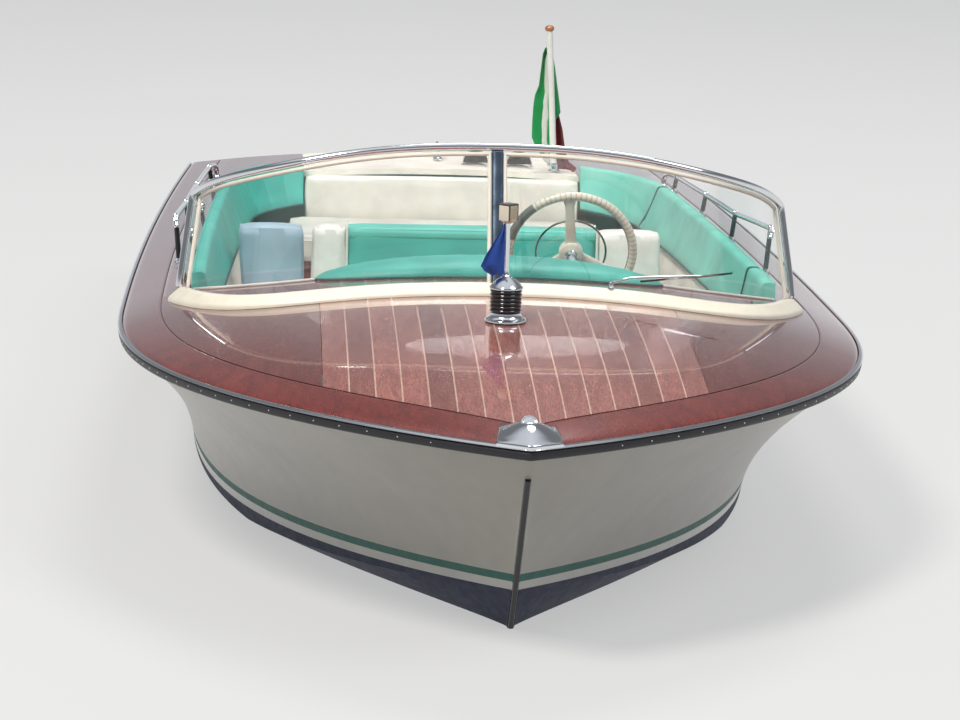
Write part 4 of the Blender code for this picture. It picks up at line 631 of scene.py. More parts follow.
def make_camera():
    pan, tilt, roll = radians(3.29), radians(10.64), radians(1.61)
    ahead = Vector((sin(pan) * cos(tilt), cos(pan) * cos(tilt), -sin(tilt)))
    level = Vector((cos(pan), -sin(pan), 0))
    upright = level.cross(ahead)
    right = level * cos(roll) + upright * sin(roll)
    up = upright * cos(roll) - level * sin(roll)
    data = bpy.data.cameras.new("camera")
    data.sensor_width = SENSOR
    data.lens = PHOTO_FOCAL / PHOTO_WIDTH * SENSOR
    data.clip_end = 200
    made = show("camera", data)
    turn = Matrix((right, up, -ahead)).transposed().to_4x4()
    made.matrix_world = Matrix.Translation((-0.629, -11.569, 2.435)) @ turn
    bpy.context.scene.camera = made


def area_light(name, place, target, size, power, colour=(1, 1, 1)):
    data = bpy.data.lights.new(name, "AREA")
    data.shape = "DISK"
    data.size = size
    data.energy = power
    data.color = colour
    aim = (Vector(target) - Vector(place)).to_track_quat("-Z", "Y").to_matrix().to_4x4()
    show(name, data).matrix_world = Matrix.Translation(place) @ aim


def seen_rays(tree):
    """One for camera, glossy and transmission rays, else zero."""
    path = tree.nodes.new("ShaderNodeLightPath")
    total = None
    for ray in ("Is Camera Ray", "Is Glossy Ray", "Is Transmission Ray"):
        if total is None:
            total = path.outputs[ray]
            continue
        node = tree.nodes.new("ShaderNodeMath")
        node.operation = "MAXIMUM"
        tree.links.new(total, node.inputs[0])
        tree.links.new(path.outputs[ray], node.inputs[1])
        total = node.outputs[0]
    return total


def make_world():
    world = bpy.data.worlds.new("studio")
    bpy.context.scene.world = world
    world.use_nodes = True
    tree = world.node_tree
    tree.nodes.clear()
    out, light, shown, place, split, ramp, choose = (tree.nodes.new("ShaderNode" + kind) for kind in (
        "OutputWorld", "Background", "Background", "TexCoord", "SeparateXYZ", "ValToRGB", "MixShader"))
    light.inputs["Color"].default_value = (0.93, 0.96, 1.0, 1)
    light.inputs["Strength"].default_value = 0.34
    shown.inputs["Strength"].default_value = 1.0
    for at, grey in ((0.05, 0.62), (0.14, 0.34), (0.34, 0.2), (0.64, 0.2), (0.82, 0.66)):
        ramp.color_ramp.elements.new(at).color = (grey * 0.96, grey, grey * 1.06, 1)
    ramp.color_ramp.elements[0].color = (0.84, 0.85, 0.86, 1)
    ramp.color_ramp.elements[-1].color = (0.74, 0.76, 0.8, 1)
    for source, target in (
            (place.outputs["Generated"], split.inputs[0]), (split.outputs["Z"], ramp.inputs["Fac"]),
            (ramp.outputs["Color"], shown.inputs["Color"]), (seen_rays(tree), choose.inputs[0]),
            (light.outputs[0], choose.inputs[1]), (shown.outputs[0], choose.inputs[2]),
            (choose.outputs[0], out.inputs["Surface"])):
        tree.links.new(source, target)


def waterline():
    """Port half of the hull's cut at the water, stem to transom, a little inside its skin."""
    edge = []
    for share in HULL_SHARES:
        ring = hull_side(share)
        for (x0, s0, z0), (x1, s1, z1) in zip(ring, ring[1:]):
            if z0 > 0 >= z1:
                part = z0 / (z0 - z1)
                edge.append((max(mix(x0, x1, part) - 0.012, 0.001), mix(s0, s1, part)))
                break
    edge[-1] = (edge[-1][0], LENGTH - 0.012)
    return edge


def make_stage():
    port = waterline()
    hole = [(x, y_of(s)) for x, s in port] + [(-x, y_of(s)) for x, s in reversed(port)]
    bm = bmesh.new()
    inner = [bm.verts.new((x, y, 0)) for x, y in hole]
    outer = []
    for x, y in hole:
        away = Vector((x, y)).normalized() * FLOOR_REACH
        outer.append(bm.verts.new((away.x, away.y, 0)))
    for i in range(len(hole)):
        j = (i + 1) % len(hole)
        bm.faces.new((inner[i], outer[i], outer[j], inner[j]))
    bmesh.ops.recalc_face_normals(bm, faces=bm.faces)
    mesh = bpy.data.meshes.new("floor")
    bm.to_mesh(mesh)
    bm.free()
    nodes = Nodes("floor_pale", (0.22, 0.22, 0.218), 0.9)
    tones = [(0.3, (0.217, 0.217, 0.215)), (0.7, (0.223, 0.223, 0.221))]
    nodes.colour(nodes.ramp(nodes.noise(0.7, detail=3.0), tones))
    nodes.set("Emission Color", (1, 1, 1, 1))
    nodes.link(nodes.sum("MULTIPLY", seen_rays(nodes.tree), 0.48), nodes.shader.inputs["Emission Strength"])
    mesh.materials.append(nodes.made)
    show("floor", mesh)


# Hull

FLARE_ROWS = 14
STRIPES = (0.065, 0.04, 0.013)


def hull_side(share, inset=0.0, drop=DECK_THICKNESS + 0.0003):
    """Points of the port half of one slanted section, from the sheer down to the keel."""
    sheer_s = mix(SHEER_START, LENGTH, share)
    chine_s = mix(CHINE_START, LENGTH, share)
    keel_s = mix(FOREFOOT, LENGTH, share)
    power = mix(2.2, 1.13, share)
    half_sheer = max(half_breadth(sheer_s), STEM_HALF)
    half_chine = max(chine_half(chine_s), STEM_HALF)
    top = sheer_height(sheer_s) - drop
    low = chine_height(chine_s) + inset
    lift = 0.06 * min(share / 0.5, 1)
    belt = [(height + lift) / (top - low) for height in STRIPES]
    rows = [mix(1.0, belt[0], k / FLARE_ROWS) for k in range(FLARE_ROWS)] + belt + [0.0]
    side = [(half_chine + (half_sheer - half_chine) * row ** power - inset, mix(chine_s, sheer_s, row),
             mix(low, top, row)) for row in rows]
    chine = side[-1]
    keel_z = keel_height(keel_s) + inset
    for row in (0.8, 0.6, 0.4, 0.2):
        x = max(chine[0] * row, STEM_HALF - inset)
        side.append((x, mix(keel_s, chine[1], row), mix(keel_z, chine[2], row)))
    return side + [(0.0, keel_s, keel_z)]


def whole_ring(side):
    port = [(x, y_of(s), z) for x, s, z in side]
    return port + [(-x, y, z) for x, y, z in reversed(port[:-1])]


def make_hull():
    outer = [whole_ring(hull_side(share)) for share in HULL_SHARES]
    count = len(outer[0])
    bands = [0] * FLARE_ROWS + [1, 2] + [3] * (count - 1 - 2 * (FLARE_ROWS + 2)) + [2, 1] + [0] * FLARE_ROWS
    points, faces, index = [], [], []

    def add_ring(ring):
        points.extend(ring)
        return len(points) - len(ring)
    starts = [add_ring(ring) for ring in outer]
    for a, b in zip(starts, starts[1:]):
        for k in range(count - 1):
            faces.append((a + k, a + k + 1, b + k + 1, b + k))
            index.append(bands[k])
    stem = starts[0]
    for k in range(count // 2):
        m = count - 1 - k
        faces.append((stem + k, stem + k + 1, stem + m - 1, stem + m) if k + 1 < m - 1
                     else (stem + k, stem + k + 1, stem + m))
        index.append(bands[k])
    inner_shares = [share for share in HULL_SHARES if INNER_SKIN_START <= share < 0.99]
    inner_shares.append(1 - TRANSOM_WALL / LENGTH)
    inner = [add_ring(whole_ring(hull_side(share, HULL_WALL))) for share in inner_shares]
    for a, b in zip(inner, inner[1:]):
        for k in range(count - 1):
            faces.append((a + k, b + k, b + k + 1, a + k + 1))
            index.append(0)
    rim = [start for start, share in zip(starts, HULL_SHARES) if share >= INNER_SKIN_START]
    rim = rim[:len(inner) - 1] + [starts[-1]]
    for (o0, o1), (i0, i1) in zip(zip(rim, rim[1:]), zip(inner, inner[1:])):
        for k in (0, count - 1):
            faces.append((o0 + k, o1 + k, i1 + k, i0 + k))
            index.append(0)
    first = inner[0]
    faces.append(tuple(first + k for k in range(count)))
    index.append(0)
    build_transom(points, faces, index, starts[-1], inner[-1], count, bands)
    build("hull_shell", points, faces, [TOPSIDE, GREEN, STRIPE_WHITE, NAVY, MAHOGANY], index, sharp=24,
          replaces=("hull",))
    for word, side in SIDES.items():
        centre = (0.42 * side, y_of(LENGTH), 0.1)
        lathe("exhaust_pipe_" + word, mm("30 -20, 30 28, 33 31, 37 28, 40 4, 47 3, 47 0"),
              centre, CHROME, (0, 1, 0))


def build_transom(points, faces, index, outer, inner, count, bands):
    """The flat transom with its crowned head, inside and out."""
    columns = 24
    for ring, aft in ((outer, True), (inner, False)):
        half = points[ring][0]
        y = points[ring][1]
        head = []
        for k in range(columns + 1):
            x = mix(half, -half, k / columns)
            points.append((x, y, max(deck_height(x, LENGTH) - DECK_THICKNESS - 0.0015, points[ring][2] + 0.0001)))
            head.append(len(points) - 1)
        top = points[ring][2]
        low = []
        for k in range(columns + 1):
            points.append((points[head[k]][0], y, top))
            low.append(len(points) - 1)
        for k in range(columns):
            faces.append((head[k], head[k + 1], low[k + 1], low[k]))
            index.append(4 if aft else 0)
        for k in range(count // 2):
            m = count - 1 - k
            corners = (ring + k, ring + k + 1, ring + m - 1, ring + m)
            faces.append(corners if k + 1 < m - 1 else (ring + k, ring + k + 1, ring + m))
            index.append((4 if bands[k] == 0 else bands[k]) if aft else 0)
        if aft:
            first_head = head
        else:
            for k in range(columns):
                faces.append((first_head[k], first_head[k + 1], head[k + 1], head[k]))
                index.append(0)


# Decks

def panel(name, plan, across, along, looks, bands=None, drop=None, **more):
    """A crowned panel over plan points (x, station) of two shares, with its own thickness."""
    rings = []
    for v in along:
        top, low = [], []
        for i, u in enumerate(across):
            x, station = plan(u, v)
            z = deck_height(x, station)
            top.append((x, y_of(station), z - (drop[i] if drop else 0.0)))
            low.append((x, y_of(station), z - DECK_THICKNESS))
        rings.append(top + list(reversed(low)))
    count = len(across)
    strip = [(bands[i] if bands else 0) for i in range(count - 1)] + [0] * (count + 1)
    return skin(name, rings, looks, strip, **more)


def make_boards():
    columns = [0.0, 0.02, 0.06, 0.13, 0.25, 0.45, 0.7, 0.93, 0.985, 1.0]
    drop = [0.0065, 0.003, 0.001, 0.0002, 0, 0, 0, 0, 0.0002, 0.0012]
    for word, side in SIDES.items():
        def plan(u, v, side=side):
            outer, inner = board_row(v)
            return mix(outer[0], inner[0], u) * side, mix(outer[1], inner[1], u)
        panel("margin_board_" + word, plan, columns, BOARD_SHARES, MARGIN, drop=drop,
              replaces=("covering_board_" + word,))
        seam = [board_row(share)[1] for share in BOARD_SHARES if board_row(share)[1][0] > 0.02]
        line = [(x * side, y_of(min(s, LENGTH - 0.002)), deck_height(x, s) + 0.0001) for x, s in seam]
        tube("margin_seam_" + word, line, 0.0007, SEAM_DARK, 6)


def make_foredeck():
    pitch = 2 / PLANK_COUNT
    half = PANEL_HALF - SEAM / 2
    seam = 0.0019 / half
    columns, bands, drop = [-1.0], [], [0.0]
    for i in range(PLANK_COUNT):
        low, high = -1 + i * pitch, -1 + (i + 1) * pitch
        start = low + (seam if i else 0)
        end = high - (seam if i < PLANK_COUNT - 1 else 0)
        inside = [mix(start, end, share) for share in (0.03, 0.35, 0.65, 0.97)]
        if i:
            columns.append(start)
            bands.append(1)
            drop.append(0.0)
        columns += inside + [end]
        bands += [0] * 5
        drop += [0.0] * 5

    def planked(u, v):
        x = half * u
        return x, mix(board_edge_station(x) + SEAM, COCKPIT_FRONT, v)
    panel("laid_planks", planked, columns, shares(30), [PLANKS, INLAY], bands, drop,
          replaces=("foredeck_planks",))
    start = board_edge_station(PANEL_HALF + SEAM) + 0.004
    for word, side in SIDES.items():
        def plain_panel(u, v, side=side):
            low = PANEL_HALF + SEAM / 2
            station = mix(start, COCKPIT_FRONT, v)
            x = mix(low, board_edge_x(station) - SEAM, u)
            station = mix(start, cockpit_front(x), v)
            return mix(low, board_edge_x(station) - SEAM, u) * side, station
        panel("king_panel_" + word, plain_panel, shares(14), shares(30), MAHOGANY,
              replaces=("foredeck_panel_" + word,))


def make_side_decks():
    front = COCKPIT_FRONT + CORNER_DEPTH + SEAM
    for word, side in SIDES.items():
        def plan(u, v, side=side):
            if v <= 0.8:
                station = mix(front, AFT_FRONT, v / 0.8)
            else:
                station = mix(AFT_FRONT, LENGTH, (v - 0.8) / 0.2)
            if station < CORNER_START:
                inner = half_breadth(station) - SIDE_DECK_WIDTH
            elif station < AFT_FRONT:
                turn = asin(min((station - CORNER_START) / (AFT_FRONT - CORNER_START), 1))
                inner = AFT_HALF + (half_breadth(CORNER_START) - SIDE_DECK_WIDTH - AFT_HALF) * cos(turn)
            else:
                inner = AFT_HALF
            return mix(inner, board_edge_x(station) - SEAM, u) * side, station
        corner = 0.8 * (CORNER_START - front) / (AFT_FRONT - front)
        rows = [corner * share for share in shares(24)][:-1]
        rows += [mix(corner, 0.8, sin(share * pi / 2)) for share in shares(20)] + [0.85, 0.9, 0.95, 1.0]
        panel("side_board_" + word, plan, [0, 0.02] + shares(6)[1:-1] + [0.98, 1], rows, MAHOGANY,
              drop=[0.0015] + [0] * 7 + [0.0008], replaces=("side_deck_" + word,))


def make_aft_deck():
    half = AFT_HALF - SEAM
    strips = 6
    columns, drop = [], []
    for i in range(strips):
        for share in (0.0, 0.012, 0.1, 0.5, 0.9, 0.988):
            columns.append((i + share) / strips)
            drop.append({0.0: 0.004, 0.012: 0.002, 0.1: 0.0006, 0.9: 0.0006, 0.988: 0.002}.get(share, 0.0))
    columns.append(1.0)
    drop.append(0.004)

    def plan(u, v):
        return mix(-half, half, u), mix(AFT_FRONT, LENGTH, v)
    panel("sun_deck", plan, columns, shares(24), CREAM_VINYL, drop=drop, replaces=("aft_deck",))


# Rails, stem and bow plate

def gunwale_run(name, section, look, **more):
    """Sweep (out, drop) points along the whole gunwale, round the stem."""
    half = []
    for station in [0.0] + [mix(SHEER_START, LENGTH, share) for share in HULL_SHARES]:
        ring = []
        for out, drop in section:
            x, s = gunwale(station, out)
            ring.append((0.0 if station == 0 else x, y_of(min(s, LENGTH)), sheer_height(station) - drop))
        half.append(ring)
    mirror = [[(-x, y, z) for x, y, z in ring] for ring in reversed(half[1:])]
    return skin(name, mirror + half, look, **more)


def make_rails():
    """The rubbing strake with its screws, and the bright bead over it."""
    gunwale_run("rub_strip", mm("0.4 11, 6 11.2, 9 14, 9.8 19, 9.8 25.5, 8.5 29.2, 5.5 31.6, 0.4 32"), RUBBER,
                replaces=("rub_rail",))
    gunwale_run("gunwale_trim", mm("0.4 0, 6 0.4, 10.5 2, 12.8 5, 10.5 8, 6 9.6, 0.4 9.7"), CHROME,
                replaces=("gunwale_bead",))
    points, faces = [], []
    for side in SIDES.values():
        for k in range(SCREW_COUNT):
            station = FIRST_SCREW + k * SCREW_PITCH
            x, s = gunwale(station, 0.0096)
            x2, s2 = gunwale(station, 0.0116)
            out = Vector(((x2 - x) * side, s2 - s, 0)).normalized()
            along = Vector((-out.y, out.x, 0))
            centre = Vector((x * side, y_of(s), sheer_height(station) - 0.0195))
            base = len(points)
            for reach, lift in ((1.0, 0.0), (0.8, 0.001), (0.0, 0.0016)):
                for turn in turns(6):
                    points.append(centre + (along * cos(turn) + Vector((0, 0, 1)) * sin(turn))
                                  * SCREW_RADIUS * reach + out * lift)
            for row in range(2):
                for i in range(6):
                    j = (i + 1) % 6
                    faces.append((base + row * 6 + i, base + row * 6 + j,
                                  base + row * 6 + 6 + j, base + row * 6 + 6 + i))
    build("rail_screws", points, faces, CHROME)


def on_deck(x, station, rise=0.0):
    return Vector((x, y_of(station), deck_height(x, station) + rise))


def seat_on_deck(x, station, across, along=0.0):
    """Lowest height at which a flat foot clears the deck."""
    if along:
        places = [(x + i * across, station + j * along) for i in (-1, 0, 1) for j in (-1, 0, 1)]
    else:
        places = [(x + across * cos(pi * i / 4), station + across * sin(pi * i / 4))
                  for i in range(8)]
    return max(deck_height(px, ps) for px, ps in places) + 0.0003


def stem_line(share):
    """Station and height down the stem: sheer to chine, then chine to forefoot."""
    if share < 0.6:
        part = share / 0.6
        return mix(SHEER_START, CHINE_START, part), mix(BOW_HEIGHT - DECK_THICKNESS, STEM_KINK_HEIGHT, part)
    part = (share - 0.6) / 0.4
    return mix(CHINE_START, FOREFOOT, part), mix(STEM_KINK_HEIGHT, FOREFOOT_HEIGHT, part)


def make_stem():
    """The rubber strip down the stem, held on the slanting stem line."""
    rings = []
    slope = (CHINE_START - SHEER_START) / (BOW_HEIGHT - DECK_THICKNESS - STEM_KINK_HEIGHT)
    for share in [mix(0.095, 0.97, part) for part in shares(40)]:
        station, height = stem_line(share)
        rings.append([(x, y_of(station - out), height - out * slope) for x, out in mm("7.2 0.3, 7 3, "
                                                                                      "5.2 5.5, 0 6.4, "
                                                                                      "-5.2 5.5, -7 3, "
                                                                                      "-7.2 0.3")])
    skin("stem_strip", rings, RUBBER, replaces=("stem_band",))


def make_bow_plate():
    """A domed casting over the stem head with a bare round boss."""
    half, reach, back_end = 0.082, 0.015, 0.148
    ways = [0.0, 0.12, 0.26, 0.4, 0.54, 0.68, 0.8, 0.9, 0.96, 0.99, 1.0]
    rings = []
    for share in both(ways):
        front = solve(half_breadth, half * abs(share), 0, WIDEST_STATION) - reach
        back = back_end - 0.012 * share ** 2
        edge = 1 - max(abs(share) - 0.96, 0) / 0.04
        rim = sheer_height(max(front, 0))
        x = half * share
        ring = [(x, y_of(front + 0.012), rim - 0.004), (x, y_of(front + 0.0006), rim - 0.004),
                (x, y_of(front - 0.0004), rim + 0.0004), (x, y_of(front), rim + 0.005 * edge + 0.0002),
                (x, y_of(front + 0.0022), rim + 0.0068 * edge + 0.0004)]
        for v in [0.06, 0.12] + [mix(0.2, 0.92, part) for part in shares(12)] + [0.97, 1.0]:
            px = x * (1 - 0.18 * v ** 1.5)
            s = mix(front, back, v)
            dome = 0.0265 * (1 - share ** 2) ** 1.5 * sin(pi * min(v * 1.02, 1)) ** 0.8
            body = (0.0065 - 0.004 * v) * edge * (1 - max(v - 0.92, 0) / 0.08)
            ring.append((px, y_of(s), max(deck_height(px, max(s, 0)), rim) + 0.0004 + body + dome))
        ring.append((x * 0.82, y_of(back), deck_height(x * 0.82, back) - 0.003))
        rings.append(ring)
    skin("bow_casting", rings, CHROME, sharp=60, replaces=("bow_plate",))
    tilt = radians(40)
    lathe("bow_boss", mm("0 1.6, 10 1, 14.8 0, 15.6 -1.8, 16.6 -1.8, 17.6 0.2, 19.6 0.4, 21 -1.4, 21.8 -5, "
                         "22.6 -30"),
          (0, y_of(0.08), deck_height(0, 0.08) + 0.0285), CHROME, (0, -cos(tilt), sin(tilt)))


def make_lamp():
    """The ribbed lamp on the foredeck, its staff and the square light on top."""
    y = y_of(LAMP_STATION)
    z = seat_on_deck(0, LAMP_STATION, 0.056)
    lathe("lamp_base", mm("0 24, 40 24, 41.5 22.5, 42 19, 43 15, 46.5 10.5, 51 7.5, 55 6, 56 4.5, 56 0, "
                          "0 0"), (0, y, z), CHROME, steps=80, replaces=("lamp_flange",))
    z += 0.0243
    profile = [(0.0, LAMP_GLASS), (0.036, LAMP_GLASS)]
    pitch = 0.0103
    for i in range(6):
        high = LAMP_GLASS - i * pitch
        profile += [(radius, high - pitch * part) for radius, part in (
            (0.038, 0.02), (0.0405, 0.12), (0.0425, 0.3), (0.043, 0.5), (0.0425, 0.7), (0.0405, 0.88),
            (0.038, 0.98))]
    profile += [(0.036, 0.0), (0.0, 0.0)]
    lathe("lamp_glass", profile, (0, y, z), LENS, steps=80, sharp=60, replaces=("lamp_lens",))
    z += LAMP_GLASS + 0.0003
    lathe("lamp_top", mm("0 176, 5 176, 6 175, 6 50, 6.6 42, 8.5 36, 13 32, 20 28, 28 22.5, 35 16, 40 10.5, "
                         "43.5 6.5, 45 4, 45 1, 44 0, 0 0"), (0, y, z), CHROME, steps=80, replaces=("lamp_cap",))
    z += 0.1763
    half = 0.0185

    def turned(point):
        x, s = point.x, point.y - y
        part = sqrt(0.5)
        return Vector(((x - s) * part, y + (x + s) * part, point.z))
    lathe("top_lamp_neck", mm("0 0, 10.5 0, 16.5 3, 20 7, 20.5 12"),
          (0, y, z), LAMP, steps=40)
    rounded_box("top_lamp", (-half, y - half, z + 0.0055), (half, y + half, z + 0.049), 0.0035, LAMP, warp=turned,
                replaces=("masthead_lamp",))
    rounded_box("top_lamp_lid", (-half - 0.0006, y - half - 0.0006, z + 0.0475),
                (half + 0.0006, y + half + 0.0006, z + 0.052), 0.0016, LAMP_DARK, warp=turned)
    rounded_box("top_lamp_pane", (-half + 0.004, y - half - 0.001, z + 0.01),
                (half - 0.003, y - half + 0.003, z + 0.045), 0.0008, LAMP_TAN, warp=turned)
    for i, (low, high) in enumerate(((-half + 0.0005, -half + 0.0042), (half - 0.004, half - 0.0004))):
        rounded_box("top_lamp_bar_%d" % i, (low, y - half - 0.0012, z + 0.007),
                    (high, y - half + 0.003, z + 0.048), 0.0007, LAMP_DARK, warp=turned)
    make_pennant(y, z - 0.002)


def arc_row(shape, width, count):
    """Points along a plan curve, spaced evenly by length and scaled to a flat width."""
    fine = [Vector(shape(i / 400)) for i in range(401)]
    run = [0.0]
    for a, b in zip(fine, fine[1:]):
        run.append(run[-1] + (b - a).length)
    made = []
    j = 0
    for i in range(count + 1):
        target = width * i / count
        while j < len(run) - 2 and run[j + 1] < target:
            j += 1
        part = (target - run[j]) / max(run[j + 1] - run[j], 1e-9)
        made.append(fine[j].lerp(fine[j + 1], part))
    return made


def fit_width(make, width):
    """Amplitude at which a curve is as long as the flat cloth."""
    def length(size):
        fine = [Vector(make(size)(i / 400)) for i in range(401)]
        return sum((b - a).length for a, b in zip(fine, fine[1:]))
    return solve(length, width, 0.0, 0.2)


def cloth_sheet(name, points, rows, columns, look, index=None, **more):
    """A thin sheet over rows of points."""
    faces = []
    for r in range(rows):
        for i in range(columns):
            a = r * (columns + 1) + i
            faces.append((a, a + 1, a + columns + 2, a + columns + 1))
    made = build(name, points, faces, look, index, sharp=80, **more)
    solid = made.modifiers.new("thickness", "SOLIDIFY")
    solid.thickness = CLOTH_THICKNESS
    solid.offset = 0
    return made


def hung_cloth(name, width, height, rows, columns, row_curve, top, look, band, rests_on, lift, **more):
    """A sheet hung from the top; each row keeps the flat width, so the cloth is neither stretched nor shrunk."""
    points = []
    for r in range(rows + 1):
        down = r / rows
        size = fit_width(lambda amount: row_curve(down, amount), width)
        line = arc_row(row_curve(down, size), width, columns)
        for i, (x, y) in enumerate(line):
            points.append((top[0] + x, top[1] + y, top[2] - height * down + lift * i / columns))
    index = [band(i / columns) for i in range(columns)] * rows
    made = cloth_sheet(name, points, rows, columns, look, index, **more)


PENNANT_EDGE = ((0.0, 0.003), (0.15, 0.011), (0.4, 0.033), (0.62, 0.051), (0.8, 0.0625), (0.9, 0.052),
                (1.0, 0.03))


def between_pairs(pairs, at):
    """A value along a table of (place, value) pairs."""
    for (a, low), (b, high) in zip(pairs, pairs[1:]):
        if at <= b:
            return mix(low, high, (at - a) / (b - a))
    return pairs[-1][1]


def make_pennant(y, top):
    """A limp three-cornered pennant: its upper edge droops from the staff and its fly is tucked under."""
    rows, columns = 56, 40
    points = []
    height = 0.135
    for r in range(rows + 1):
        v = r / rows
        wide = between_pairs(PENNANT_EDGE, v)
        under = max(v - 0.8, 0) / 0.2
        for i in range(columns + 1):
            u = i / columns
            ripple = 0.0042 * sin(u * 8.5 + 1.8 * v) * min(u * 4, 1) * min(v * 3 + 0.3, 1)
            tuck = 0.016 * under ** 1.5 * u
            z = top - height * v * (1 + 0.03 * u) - 0.004 * u * v
            points.append((-0.0074 - wide * u, y + ripple + tuck, z))
    made = cloth_sheet("pennant_sheet", points, rows, columns, BLUE, replaces=("pennant",))
    tube("pennant_lacing", [(-0.0076, y, top + 0.001), (-0.0074, y, top - 0.07), (-0.0076, y, top - 0.136)],
         0.0013, BLUE, 8)


def rounded_box(name, low, high, radius, look, warp=None, **more):
    """A hard block with rounded edges."""
    low, high = Vector(low), Vector(high)
    bm = bmesh.new()
    bmesh.ops.create_cube(bm, size=1)
    for vert in bm.verts:
        vert.co = Vector([mix(low[i], high[i], vert.co[i] + 0.5) for i in range(3)])
    bmesh.ops.bevel(bm, geom=bm.edges, offset=radius, offset_type="OFFSET", segments=4, profile=0.5,
                    affect="EDGES")
    points = [warp(vert.co.copy()) if warp else vert.co.copy() for vert in bm.verts]
    faces = [tuple(vert.index for vert in face.verts) for face in bm.faces]
    bm.free()
    return build(name, points, faces, look, sharp=50, **more)


# Windscreen

def screen_base(share):
    return SCREEN_HALF * share, 1.5 + 0.46 * abs(share) ** SCREEN_BEND


def base_normal(share):
    x0, s0 = screen_base(share - 0.001)
    x1, s1 = screen_base(share + 0.001)
    across = Vector((x1 - x0, s1 - s0)).normalized()
    return Vector((across.y, -across.x))


def glass_low(share):
    x, station = screen_base(share)
    return on_deck(x, station, 0.031)


def glass_top(share):
    x = GLASS_TOP_HALF * share
    station = 1.655 + 0.385 * abs(share) ** SCREEN_BEND
    drop = 0.155 * abs(share) ** 2.4 + 0.045 * abs(share) ** 16
    return Vector((x, y_of(station), GLASS_TOP_HEIGHT - drop))


def screen_shares(count=70):
    return both([1 - (1 - part) ** 1.45 for part in shares(count)])


def make_screen():
    """The moulding scribed to the deck, two curved panes, the rim and the middle post."""
    rings = []
    for share in screen_shares():
        x, station = screen_base(share)
        normal = base_normal(share)
        level = deck_height(x, station) + 0.0007
        ring = []
        for out, rise in mm("46 0, 46.2 5, 45 8.5, 40 12, 32 16.5, 24 21.8, 17 26.5, 12 29.2, 8.5 30, "
                            "-8.5 30, -11 28.8, -12 26, -12 0"):
            px, ps = x + normal.x * out, station + normal.y * out
            foot = deck_height(px, ps) + 0.0007
            ring.append((px, y_of(ps), mix(foot, level, min(rise / 0.03, 1)) + rise))
        rings.append(ring)
    skin("screen_moulding", rings, CREAM, sharp=50, replaces=("windscreen_base",))
    for word, side in SIDES.items():
        rings = []
        start = POST_HALF / SCREEN_HALF
        for part in shares(60):
            share = mix(start, 1.0, 1 - (1 - part) ** 1.3)
            low, top = glass_low(share), glass_top(share)
            normal = base_normal(share)
            back = Vector((normal.x, normal.y, 0)) * 0.005
            front = [low.lerp(top, v) for v in shares(10)]
            ring = front + [point - back for point in reversed(front)]
            rings.append(sided(ring, side))
        skin("screen_pane_" + word, rings, GLASS, sharp=60, replaces=("glass_" + word,))
        gasket(word, side, start)
    tube("screen_rim", frame_path(), 0.0108, CHROME, 18, replaces=("windscreen_frame",))
    low, top = glass_low(0), glass_top(0)
    rings = []
    for part in shares(10):
        point = low.lerp(top - Vector((0, 0, 0.0006)), part)
        rings.append([(x, point.y + y, point.z) for x, y in mm("16.5 -4, 15 -7.5, 10 -9.5, 0 -10.3, "
                                                               "-10 -9.5, -15 -7.5, -16.5 -4, -16.5 6, "
                                                               "-13 10, 13 10, 16.5 6")])
    # The post's dark blue tint is a painted reflection on chrome.
    skin("screen_post", rings, SKY_PAINTED_CHROME, sharp=50, replaces=("windscreen_post",))


def pane_point(share, v):
    low, top = glass_low(share), glass_top(share)
    normal = base_normal(share)
    return low.lerp(top, v) - Vector((normal.x, normal.y, 0)) * 0.0025


def gasket(word, side, start):
    """The cream seal just inside the frame: up the post, over the top and down the side."""
    inner = start + 0.006
    line = [pane_point(inner, v) for v in shares(14)[:-1]]
    top = []
    for part in shares(60):
        share = mix(inner, 0.988, part)
        low, high = glass_low(share), glass_top(share)
        drop = 0.0085 / (high.z - low.z)
        top.append(pane_point(share, 1 - drop))
    line += top
    line += [pane_point(0.988, 1 - v) for v in [mix(0.06, 0.99, part) for part in shares(14)]]
    tube("screen_gasket_" + word, sided(line, side), 0.0062, GASKET, 10)


def frame_path():
    lift, back = 0.0111, 0.0025
    half = []
    for part in shares(90)[1:-1]:
        share = 1 - (1 - part) ** 1.7
        reach = max(share - 0.8, 0) / 0.2
        rise = lift * sqrt(max(1 - (reach * 0.75) ** 2, 0))
        half.append(glass_top(share) + Vector((lift * reach ** 2, back, rise)))
    corner, foot = glass_top(1.0), glass_low(1.0)
    side = [corner.lerp(foot, share) + Vector((lift * 1.15, back, 0))
            for share in (0.0, 0.07, 0.14, 0.25, 0.4, 0.6, 0.8, 1.0)]
    side[-1].z += 0.0033
    half += side
    centre = glass_top(0) + Vector((0, back, lift))
    return sided(reversed(half), -1) + [centre] + half


def screen_face(x, rise, off=0.012):
    share = x / SCREEN_HALF
    low, top = glass_low(share), glass_top(share)
    normal = base_normal(share)
    return low.lerp(top, rise / (top.z - low.z)) + Vector((normal.x, normal.y, 0)) * off


